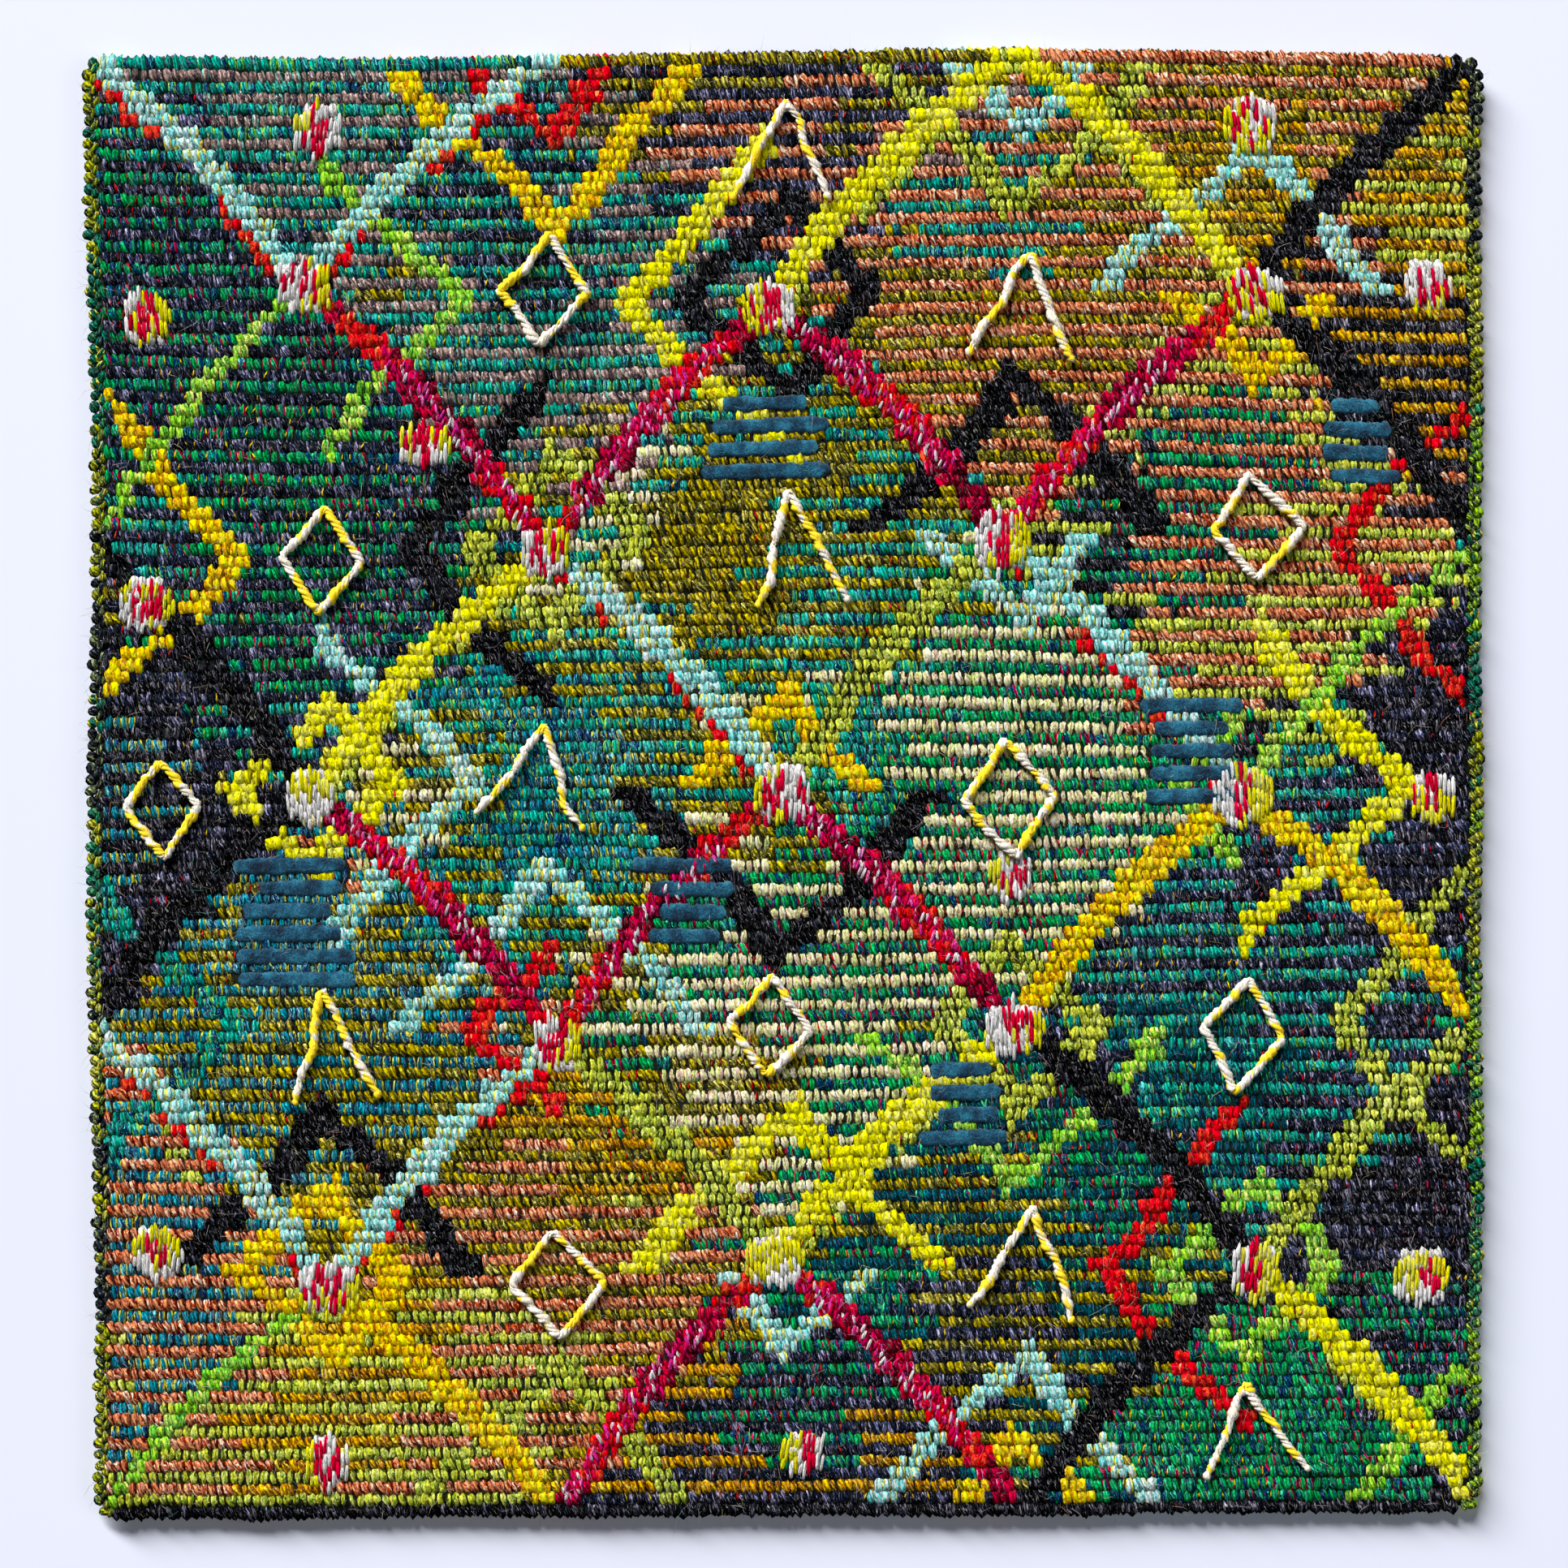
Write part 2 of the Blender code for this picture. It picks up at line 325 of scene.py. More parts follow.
# %% The lines of the trellis
Line = namedtuple("Line", "from_i from_j to_i to_j yarn half")
LINES = [Line(*row) for row in (
    (0, 0, 1, 1, "aqua", 3.2), (1, 1, 2, 0, "aqua", 3.0), (3, 1, 4, 0, "lemon", 3.8),
    (4, 0, 5, 1, "lemon", 3.6), (5, 1, 6, 0, "black", 3.6), (0, 2, 1, 1, "lime", 2.0),
    (1, 1, 2, 2, "crimson", 3.6), (2, 2, 3, 1, "crimson", 3.4), (3, 1, 4, 2, "crimson", 3.6),
    (4, 2, 5, 1, "crimson", 3.4), (5, 1, 6, 2, "black", 3.8), (0, 2, 1, 3, "black", 3.8),
    (1, 3, 2, 2, "lemon", 3.8), (2, 2, 3, 3, "aqua", 3.4), (3, 3, 4, 2, "chartreuse", 3.6),
    (4, 2, 5, 3, "aqua", 3.2), (5, 3, 6, 2, "lime", 2.2), (0, 4, 1, 3, "black", 3.4),
    (1, 3, 2, 4, "crimson", 3.4), (2, 4, 3, 3, "crimson", 3.4), (3, 3, 4, 4, "crimson", 3.6),
    (4, 4, 5, 3, "gold", 3.8), (5, 3, 6, 4, "gold", 3.6), (0, 4, 1, 5, "aqua", 3.2),
    (1, 5, 2, 4, "aqua", 3.2), (2, 4, 3, 5, "chartreuse", 3.6), (3, 5, 4, 4, "lemon", 4.0),
    (4, 4, 5, 5, "black", 3.8), (5, 5, 6, 4, "chartreuse", 3.4), (0, 6, 1, 5, "lime", 2.2),
    (1, 5, 2, 6, "gold", 3.6), (2, 6, 3, 5, "crimson", 3.4), (3, 5, 4, 6, "crimson", 3.4),
    (4, 6, 5, 5, "black", 3.6), (5, 5, 6, 6, "lemon", 3.8),
)]
EDGED = {"aqua": "scarlet", "lemon": "chartreuse"}
EDGE_WIDE, EDGE_PATCH, EDGE_BROKEN = 2.4, 9, -0.35
CROSSING_JITTER = 5.0
LINE_BOW, LINE_OVERRUN = 4.0, 2
LINE_THIN, LINE_SWELL = 0.8, 0.35  # share of its width at a line's ends, and what its middle adds
STEP_JITTER = 1.3
SCARLET_OVER, MAROON_UNDER = 0.45, -0.55
jitter = chance.uniform(-CROSSING_JITTER, CROSSING_JITTER, (7, 7, 2))
step = chance.uniform(-STEP_JITTER, STEP_JITTER, WARP_COUNT)[rib]


def crossing(i, j):
    """Place of a crossing in millimetres, which is off the true lattice inside the cloth."""
    inside = 0 < i < 6 and 0 < j < 6
    return np.array([(i - 3) * LATTICE_WIDE, j * LATTICE_HIGH]) + jitter[j, i] * inside


def bow_side(line):
    """The side to which a line bows."""
    return -1 if (line.from_i + line.to_j) % 2 else 1


def along_line(line, x, down_mm):
    """How far along a line each place is, how far beside it, and the line's length."""
    start = crossing(line.from_i, line.from_j)
    way = crossing(line.to_i, line.to_j) - start
    length = np.hypot(*way)
    way = way / length
    along = (x - start[0]) * way[0] + (down_mm - start[1]) * way[1]
    bow = bow_side(line) * LINE_BOW * np.sin(np.pi * np.clip(along / length, 0, 1))
    beside = (down_mm - start[1]) * way[0] - (x - start[0]) * way[1] - bow
    return along, beside, length


on_line = np.full(rib.size, -1)
for number, line in enumerate(LINES):
    along, beside, length = along_line(line, chart_x + step, chart_down)
    middle = np.sin(np.pi * np.clip(along / length, 0, 1))
    half = line.half * (LINE_THIN + LINE_SWELL * middle)
    within = (along > -LINE_OVERRUN) & (along < length + LINE_OVERRUN)
    if line.yarn in EDGED:
        shown = swing(along, 1, EDGE_PATCH, number) > EDGE_BROKEN
        edge = within & shown & (beside > half * 0.5) & (beside < half + EDGE_WIDE)
        yarn[edge] = NAMES.index(EDGED[line.yarn])
    hit = within & (abs(beside) < half)
    yarn[hit] = NAMES.index(line.yarn)
    if line.yarn == "crimson":
        # Patches along the line, with finer and weaker ones that slant over it.
        cloud = swing(along, 1, 10, 2 * number) + swing(along, 0.5, 4, beside * 1.3)
        yarn[hit & (cloud > SCARLET_OVER)] = NAMES.index("scarlet")
        yarn[hit & (cloud < MAROON_UNDER)] = NAMES.index("maroon")
    on_line[hit] = number
print("Beads on the trellis:", int((on_line >= 0).sum()))

# %% [markdown]
# Inside the meshes smaller bands repeat the shape of the trellis. Some are whole diamonds, most
# are only two of the four sides, which makes a chevron. Their distance from the middle of the
# mesh is counted as for the meshes themselves: steps across plus steps down.

# %% Small bands inside the meshes
Band = namedtuple("Band", "x down size yarn half sides")
BANDS = [Band(*row) for row in (
    (-64, 2, 0.66, "gold", 3.2, "down"), (-64, 2, 0.30, "scarlet", 3.0, "down"),
    (64, 2, 0.62, "chartreuse", 3.0, "down"), (64, 2, 0.30, "aqua", 2.8, "down"),
    (-128, 67, 0.60, "lime", 2.6, "right"), (0, 67, 0.68, "lemon", 3.4, "left"),
    (0, 67, 0.40, "black", 3.4, "all"), (128, 67, 0.62, "aqua", 3.0, "up"),
    (128, 67, 0.34, "gold", 3.2, "down"), (-64, 134, 0.66, "black", 3.6, "left"),
    (-64, 134, 0.36, "chartreuse", 3.2, "all"), (64, 134, 0.64, "black", 3.8, "up"),
    (64, 134, 0.34, "aqua", 3.0, "down"), (-190, 136, 0.60, "gold", 3.2, "right"),
    (190, 136, 0.62, "scarlet", 2.6, "left"), (-128, 202, 0.66, "aqua", 3.0, "right"),
    (-128, 202, 0.34, "lemon", 3.4, "all"), (0, 202, 0.68, "black", 3.6, "down"),
    (0, 202, 0.36, "gold", 3.2, "up"), (128, 202, 0.66, "lemon", 3.6, "right"),
    (128, 202, 0.34, "lime", 2.6, "left"), (-64, 269, 0.66, "aqua", 3.0, "up"),
    (-64, 269, 0.32, "scarlet", 3.0, "left"), (64, 269, 0.66, "lime", 2.8, "down"),
    (64, 269, 0.34, "chartreuse", 3.6, "all"), (-190, 268, 0.58, "teal", 3.8, "right"),
    (190, 268, 0.60, "chartreuse", 3.2, "left"), (-128, 336, 0.66, "black", 3.8, "up"),
    (-128, 336, 0.34, "gold", 3.4, "all"), (0, 336, 0.66, "lemon", 3.4, "up"),
    (0, 336, 0.32, "aqua", 2.8, "down"), (128, 336, 0.66, "scarlet", 2.8, "left"),
    (128, 336, 0.36, "lime", 2.8, "all"), (-64, 403, 0.62, "chartreuse", 3.2, "up"),
    (64, 403, 0.64, "aqua", 3.0, "up"), (64, 403, 0.30, "gold", 3.0, "up"),
    (190, 403, 0.60, "lime", 2.8, "left"),
)]
BAND_SWING, BAND_SWING_LENGTH = 2.5, 9
STEEPNESS = LATTICE_WIDE * LATTICE_HIGH / math.hypot(LATTICE_WIDE, LATTICE_HIGH)
SIDES = {"all": (0, 0), "up": (0, -1), "down": (0, 1), "left": (-1, 0), "right": (1, 0)}
for number, band in enumerate(BANDS):
    off_x = chart_x + step - band.x + swing(chart_down, BAND_SWING, BAND_SWING_LENGTH, number)
    off_down = chart_down - band.down
    away = abs(off_x) / LATTICE_WIDE + abs(off_down) / LATTICE_HIGH
    beside = (away - band.size) * STEEPNESS
    way_x, way_down = SIDES[band.sides]
    facing = off_x * way_x + off_down * way_down >= 0
    hit = (abs(beside) < band.half) & facing & (on_line < 0)
    yarn[hit] = NAMES.index(band.yarn)
print("Small bands:", len(BANDS))

# %% [markdown]
# Lozenges and plush bars are worked over the cloth, so the chart keeps only their places: white
# wool lies under a lozenge, and nothing shows under a bar.

# %% Places of the lozenges and of the plush bars
Lozenge = namedtuple("Lozenge", "x down half_wide half_high")
CROSSING_SIZES, FREE_SIZES = (6.0, 8.4), (5.4, 7.4)
lozenges = []
for i in range(1, 6):
    for j in range(1, 6):
        if (i + j) % 2 == 0:
            lozenges.append(Lozenge(*crossing(i, j), *chance.uniform(*CROSSING_SIZES, 2)))
for x, down_mm in ((-128, 20), (128, 20), (-176, 72), (177, 64), (-177, 150), (178, 206),
                   (-175, 330), (175, 338), (-128, 388), (4, 386), (62, 226), (-100, 106)):
    lozenges.append(Lozenge(x, down_mm, *chance.uniform(*FREE_SIZES, 2)))
STEP_HIGH = 2 * WARP_PITCH * 1000  # a lozenge narrows by steps of two ribs
POINTED, LOZENGE_RIM = 0.8, 1.1
under_lozenge = np.zeros(rib.size, bool)
for place in lozenges:
    stepped = (np.floor(abs(chart_down - place.down) / STEP_HIGH) + 0.5) * STEP_HIGH
    reach = abs(chart_x - place.x) / place.half_wide + POINTED * stepped / place.half_high
    under_lozenge |= (reach < LOZENGE_RIM) & (abs(chart_down - place.down) < place.half_high)
yarn[under_lozenge] = NAMES.index("white")

Bars = namedtuple("Bars", "left right top bottom")
BARS = (
    Bars(-20, 8, 92, 120), Bars(98, 126, 174, 210), Bars(-148, -120, 222, 258),
    Bars(40, 60, 278, 304), Bars(-38, -14, 218, 244), Bars(146, 166, 96, 122),
)
BAR_RAGGED = 4.5
bars = []
under_bar = np.zeros(rib.size, bool)
for bar in BARS:
    for row in range(0, WARP_COUNT, 2):
        if bar.top < (row + 0.5) * WARP_PITCH * 1000 < bar.bottom:
            left = bar.left + chance.uniform(-BAR_RAGGED, BAR_RAGGED)
            right = bar.right + chance.uniform(-BAR_RAGGED, BAR_RAGGED)
            bars.append((row, left, right))
            under_bar |= (rib == row) & (chart_x > left) & (chart_x < right)
# The last rib is woven in charcoal: partly dark wool, and partly painted shade for the lower edge,
# which leans back to the wall.
yarn[rib == WARP_COUNT - 1] = NAMES.index("charcoal")
print("Lozenges:", len(lozenges), "plush bars:", len(bars))

# %% [markdown]
# ## One mesh out of thousands of beads
#
# Twenty thousand objects would be slow to draw. Geometry Nodes could scatter instances and
# realize them, but each bead has to know its own yarn, so here the points of all beads of a yarn
# are worked out as one array and handed to Blender as one mesh. Each bead also gets its own
# square of the map, and the wool material reads from that square where on the bead it is.

# %% Join small solids to one mesh
MAP_NAME = "OFBake"
MAP_MARGIN = 0.08


def faces_outwards(points, faces):
    """The faces of a closed solid, turned round if they point inwards."""
    volume = 0.0
    for face in faces:
        for second, third in zip(face[1:-1], face[2:]):
            volume += np.dot(points[face[0]], np.cross(points[second], points[third]))
    return [tuple(reversed(face)) for face in faces] if volume < 0 else faces


def joined_mesh(name, groups, *materials):
    """One object of many small solids. Each group is points (count, corners, 3), faces, places on
    the solid's square of the map (corners, 2), and the number of its material."""
    total = sum(len(points) for points, *_ in groups)
    squares = math.ceil(math.sqrt(total))
    points_all, corner_all, size_all, map_all, slot_all = [], [], [], [], []
    first_point, first_solid = 0, 0
    for points, faces, spots, slot in groups:
        count, corners = points.shape[:2]
        faces = faces_outwards(points[0] - points[0].mean(axis=0), faces)
        corner = np.concatenate([np.array(face) for face in faces])
        solid = np.arange(count)[:, None]
        corner_all.append((first_point + solid * corners + corner).ravel())
        size_all.append(np.tile([len(face) for face in faces], count))
        slot_all.append(np.full(len(faces) * count, slot))
        square = np.stack(np.divmod(first_solid + solid, squares)[::-1], axis=-1)
        inner = MAP_MARGIN + (1 - 2 * MAP_MARGIN) * np.asarray(spots)[corner]
        map_all.append(((square + inner) / squares).reshape(-1, 2))
        points_all.append(points.reshape(-1, 3))
        first_point += count * corners
        first_solid += count
    mesh = bpy.data.meshes.new(name)
    points = np.concatenate(points_all)
    corners = np.concatenate(corner_all)
    sizes = np.concatenate(size_all)
    mesh.vertices.add(len(points))
    mesh.vertices.foreach_set("co", points.ravel())
    mesh.loops.add(len(corners))
    mesh.loops.foreach_set("vertex_index", corners)
    mesh.polygons.add(len(sizes))
    mesh.polygons.foreach_set("loop_start", np.cumsum(sizes) - sizes)
    mesh.polygons.foreach_set("material_index", np.concatenate(slot_all))
    mesh.update(calc_edges=True)
    mesh.shade_smooth()
    layer = mesh.uv_layers.new(name=MAP_NAME)
    layer.data.foreach_set("uv", np.concatenate(map_all).ravel())
    for material in materials:
        mesh.materials.append(material)
    piece = bpy.data.objects.new(name, mesh)
    bpy.context.scene.collection.objects.link(piece)
    piece["squares"] = squares
    return piece


def triangles(piece):
    """How many triangles a piece has."""
    return int(sum(len(face.vertices) - 2 for face in piece.data.polygons))


# %% [markdown]
# ## The shape of a bead
#
# A bead is a bundle bent over the warp: full and round in its middle, narrow and sunk where it
# dives between two warps. Three rings and two tips are enough at this size. Its section is an
# arch whose feet stand deep in the cloth, wider than the room there is, so that each bead presses
# into the next and a rib reads as one rope. Beads of a yarn that is a full lens narrow more, so
# each stays an oval. The back of the cloth is seen less, so its beads have one point less in each
# ring and one ring less.

# %% Bead patterns
Pattern = namedtuple("Pattern", "points faces spots")


def spindle(section, rings, tip_rise):
    """A solid through copies of a section, closed by a tip above and a tip below. A ring is its
    height, its width and its rise."""
    points = [(0.0, tip_rise, 1.0)]
    for height, swell, lift in rings:
        points += [(x * swell, rise * lift, height) for x, rise in section]
    points.append((0.0, tip_rise, -1.0))
    count = len(section)
    faces = []
    for corner in range(count):
        following = (corner + 1) % count
        faces.append((0, 1 + corner, 1 + following))
        for ring in range(len(rings) - 1):
            above, below = 1 + ring * count, 1 + (ring + 1) * count
            faces.append((above + corner, below + corner, below + following, above + following))
        last = 1 + (len(rings) - 1) * count
        faces.append((last + corner, len(points) - 1, last + following))
    points = np.array(points)
    return Pattern(points, faces, np.stack([points[:, 0] / 2 + 0.5, points[:, 2] / 2 + 0.5], axis=-1))


ARCH = ((-1.0, -0.40), (-0.50, 0.90), (0.50, 0.90), (1.0, -0.40))
LOW_ARCH = ((-1.0, -0.20), (0.0, 1.0), (1.0, -0.20))
# Rings as (height, width, rise), in shares of half the bead's length, of its half width and of its rise.
FACE_BEAD = spindle(ARCH, ((0.54, 0.84, 0.70), (0.0, 1.0, 1.0), (-0.54, 0.84, 0.70)), -0.30)
LENS_BEAD = spindle(ARCH, ((0.56, 0.68, 0.66), (0.0, 1.0, 1.0), (-0.56, 0.68, 0.66)), -0.30)
BACK_BEAD = spindle(LOW_ARCH, ((0.45, 0.92, 0.94), (-0.45, 0.92, 0.94)), 0.10)
print("Triangles in a bead:", sum(len(f) - 2 for f in FACE_BEAD.faces),
      "and behind:", sum(len(f) - 2 for f in BACK_BEAD.faces))


# %% Lay beads on the cloth
TILT = 0.16


def laid(pattern, middles, half_wide, half_long, rise, lean, out=-1):
    """Points of many beads: at these middles, with these sizes, leaning by this angle. A leaning
    bead also lies a little on its neighbour."""
    x = pattern.points[:, 0] * half_wide[:, None]
    z = pattern.points[:, 2] * half_long[:, None]
    y = out * (pattern.points[:, 1] * rise[:, None] + TILT * np.sign(lean)[:, None] * x)
    turn = lean[:, None]
    offset = (x * np.cos(turn) - z * np.sin(turn), y, x * np.sin(turn) + z * np.cos(turn))
    return middles[:, None, :] + np.stack(offset, axis=-1)


# %% [markdown]
# ## Marled wool
#
# What makes wool look like wool is that no bead has one colour. The strands of a weft show side
# by side, each round and with its own tone. Painted light comes on top: a painted highlight on the
# crest of each strand and painted shade between strands, painted glints on a few fibres, and
# painted shade where the wool dives into the cloth. A photograph could be wrapped on, but it would
# blur, and one node group can draw all of this from the bead's square of the map.

# %% Short helpers for nodes
def srgb(code):
    """A linear colour from six hexadecimal digits."""
    parts = [int(code[k:k + 2], 16) / 255 for k in (0, 2, 4)]
    return (*[p / 12.92 if p <= 0.04045 else ((p + 0.055) / 1.055) ** 2.4 for p in parts], 1.0)


def add_node(tree, kind, inputs=None, **settings):
    """A node with these settings. An input may be a value or the socket that feeds it."""
    made = tree.nodes.new(kind)
    for name, value in settings.items():
        setattr(made, name, value)
    for name, source in (inputs or {}).items():
        if isinstance(source, bpy.types.NodeSocket):
            tree.links.new(source, made.inputs[name])
        else:
            made.inputs[name].default_value = source
    return made


def maths(tree, operation, *sources, clamp=False):
    """The result of one sum."""
    inputs = dict(enumerate(sources))
    return add_node(tree, "ShaderNodeMath", inputs, operation=operation, use_clamp=clamp).outputs[0]


def blended(tree, factor, first, second):
    """One colour laid over another."""
    inputs = {0: factor, 6: first, 7: second}
    return add_node(tree, "ShaderNodeMix", inputs, data_type="RGBA").outputs[2]


def parts_of(tree, vector):
    """The three parts of a vector."""
    return add_node(tree, "ShaderNodeSeparateXYZ", {0: vector}).outputs


def point(tree, *parts):
    """A place from its parts."""
    return add_node(tree, "ShaderNodeCombineXYZ", dict(enumerate(parts))).outputs[0]


def stretched(tree, value, low, high, to_low=0.0, to_high=1.0):
    """A value between low and high, stretched to run from to_low to to_high."""
    inputs = {"Value": value, "From Min": low, "From Max": high, "To Min": to_low, "To Max": to_high}
    return add_node(tree, "ShaderNodeMapRange", inputs).outputs[0]


def noise(tree, place, dimensions="3D", **inputs):
    """Noise at this place, with these inputs, such as Scale=40.0."""
    inputs["Vector"] = place
    return add_node(tree, "ShaderNodeTexNoise", inputs, noise_dimensions=dimensions).outputs["Fac"]


def ramp(tree, factor, stops, interpolation="LINEAR"):
    """A colour for each value, from stops that are a value and a colour."""
    made = add_node(tree, "ShaderNodeValToRGB", {"Fac": factor})
    made.color_ramp.interpolation = interpolation
    marks = made.color_ramp.elements
    for number, (place, colour) in enumerate(stops):
        mark = marks[number] if number < 2 else marks.new(place)
        mark.position, mark.color = place, colour
    return made.outputs[0]


def new_group(name, inputs, outputs):
    """An empty node group with these sockets, and its two end nodes."""
    tree = bpy.data.node_groups.new(name, "ShaderNodeTree")
    for in_out, sockets in (("INPUT", inputs), ("OUTPUT", outputs)):
        for socket_name, kind in sockets.items():
            tree.interface.new_socket(socket_name, in_out=in_out, socket_type="NodeSocket" + kind)
    return tree, tree.nodes.new("NodeGroupInput").outputs, tree.nodes.new("NodeGroupOutput").inputs


# %% Helpers for whole materials
def new_material(name, **values):
    """A material, its tree, and its shader with these values on it, such as Roughness=0.9."""
    material = bpy.data.materials.new(name)
    material.use_nodes = True
    shader = material.node_tree.nodes["Principled BSDF"]
    for socket, value in values.items():
        shader.inputs[socket.replace("_", " ")].default_value = value
    return material, material.node_tree, shader


def add_relief(tree, shader, height, distance):
    """Relief of this depth in metres, from a value that changes over the surface."""
    bump = add_node(tree, "ShaderNodeBump", {"Height": height, "Distance": distance})
    tree.links.new(bump.outputs[0], shader.inputs["Normal"])


# %% Where on its bead a point is
place_group, given, taken = new_group(
    "place_on_bead", {"Squares": "Float"},
    {"Across": "Float", "Along": "Float", "Bead": "Vector", "Chance": "Vector"})
place_map = add_node(place_group, "ShaderNodeUVMap", uv_map=MAP_NAME).outputs[0]
vector_maths = partial(add_node, place_group, "ShaderNodeVectorMath")
scaled = vector_maths({0: place_map, "Scale": given["Squares"]}, operation="SCALE").outputs[0]
whole = vector_maths({0: scaled}, operation="FLOOR").outputs[0]
within = vector_maths({0: scaled}, operation="FRACTION").outputs[0]
for name, part in zip(("Across", "Along"), parts_of(place_group, within)):
    place_group.links.new(stretched(place_group, part, MAP_MARGIN, 1 - MAP_MARGIN), taken[name])
dice = add_node(place_group, "ShaderNodeTexWhiteNoise", {"Vector": whole})
place_group.links.new(whole, taken["Bead"])
place_group.links.new(dice.outputs["Color"], taken["Chance"])
print("Nodes in the place group:", len(place_group.nodes))

# %% [markdown]
# The wool group counts strands across the bead, slants them by the twist, frays their sides, and
# rolls a die for each. The second and third colours come up for their shares of the strands, and
# the fibres mix them, so that a strand is seldom one clean colour. The shares drift over the cloth
# in slow clouds, as they do where a weaver changes one strand of the bundle. The thin strand comes
# up at the side of some beads. Last come the tones: a painted highlight on the crest of each strand
# and painted shade between strands, dull and bright fibres with a few painted glints, a fine haze
# over all, and a ragged rim of painted shade.

# %% Values of marled wool
WOOL_INPUTS = {
    "Squares": "Float", "Main": "Color", "Second": "Color", "Third": "Color", "Second share": "Float",
    "Third share": "Float", "Thin": "Color", "Thin share": "Float", "Strands": "Float", "Twist": "Float",
    "Groove": "Float", "Lens": "Float", "Depth": "Float", "Lint": "Float",
}
DRIFT_SCALE, DRIFT = 34.0, 0.55
MARL = 2.2  # how much the fibres of one strand mix its colours
STARTS = 7.0  # a rope's first strand starts up to this many strands away
APART = 90.0  # how far apart two beads may read the noise
THIN_FROM, NARROWING = 0.46, 0.60
FRAY_ACROSS, FRAY_ALONG, FRAY = 3.2, 2.8, 0.85
FIBRES_ACROSS, FIBRES_ALONG, FIBRES_ROUGH = 4.0, 2.6, 0.65
RIM_RAGGED = 0.8  # how far the shade at the rim of a bead comes and goes
# The crest of a strand is painted this much lighter, a painted highlight; no colour goes above the brightest,
# and colours are made this vivid.
PAINTED_CREST_LIGHT, BRIGHTEST, VIVID = 1.52, 0.69, 1.05
# How much a tone varies, and its least.
STRAND_TONES, BEAD_TONES = (0.50, 0.78), (0.40, 0.82)
LUSTRE_RANGE, LUSTRE, DULL = (0.31, 0.67), 0.62, 0.60
# The brightest fibres are painted up to glints, a painted highlight, by this power and this much.
PAINTED_GLINT_POWER, PAINTED_GLINT = 5.0, 0.75
# Haze noise between the first two gives tones between the last two.
HAZE_SCALE, HAZE_TONES = (2300, 2300, 1600), (0.34, 0.66, 0.62, 1.42)
# Painted shade at the sides and the ends of a bead grows by these powers, and a thin strand gets less of it.
SIDE_POWER, END_POWER, THIN_LIGHTER = 2.6, 3.0, -0.6
LINT_FROM, LINT_COLOUR = 0.64, (0.62, 0.60, 0.60, 1.0)
FIBRE_RELIEF, STRAND_RELIEF = 0.35, 0.65
print("Inputs of the wool group:", len(WOOL_INPUTS))


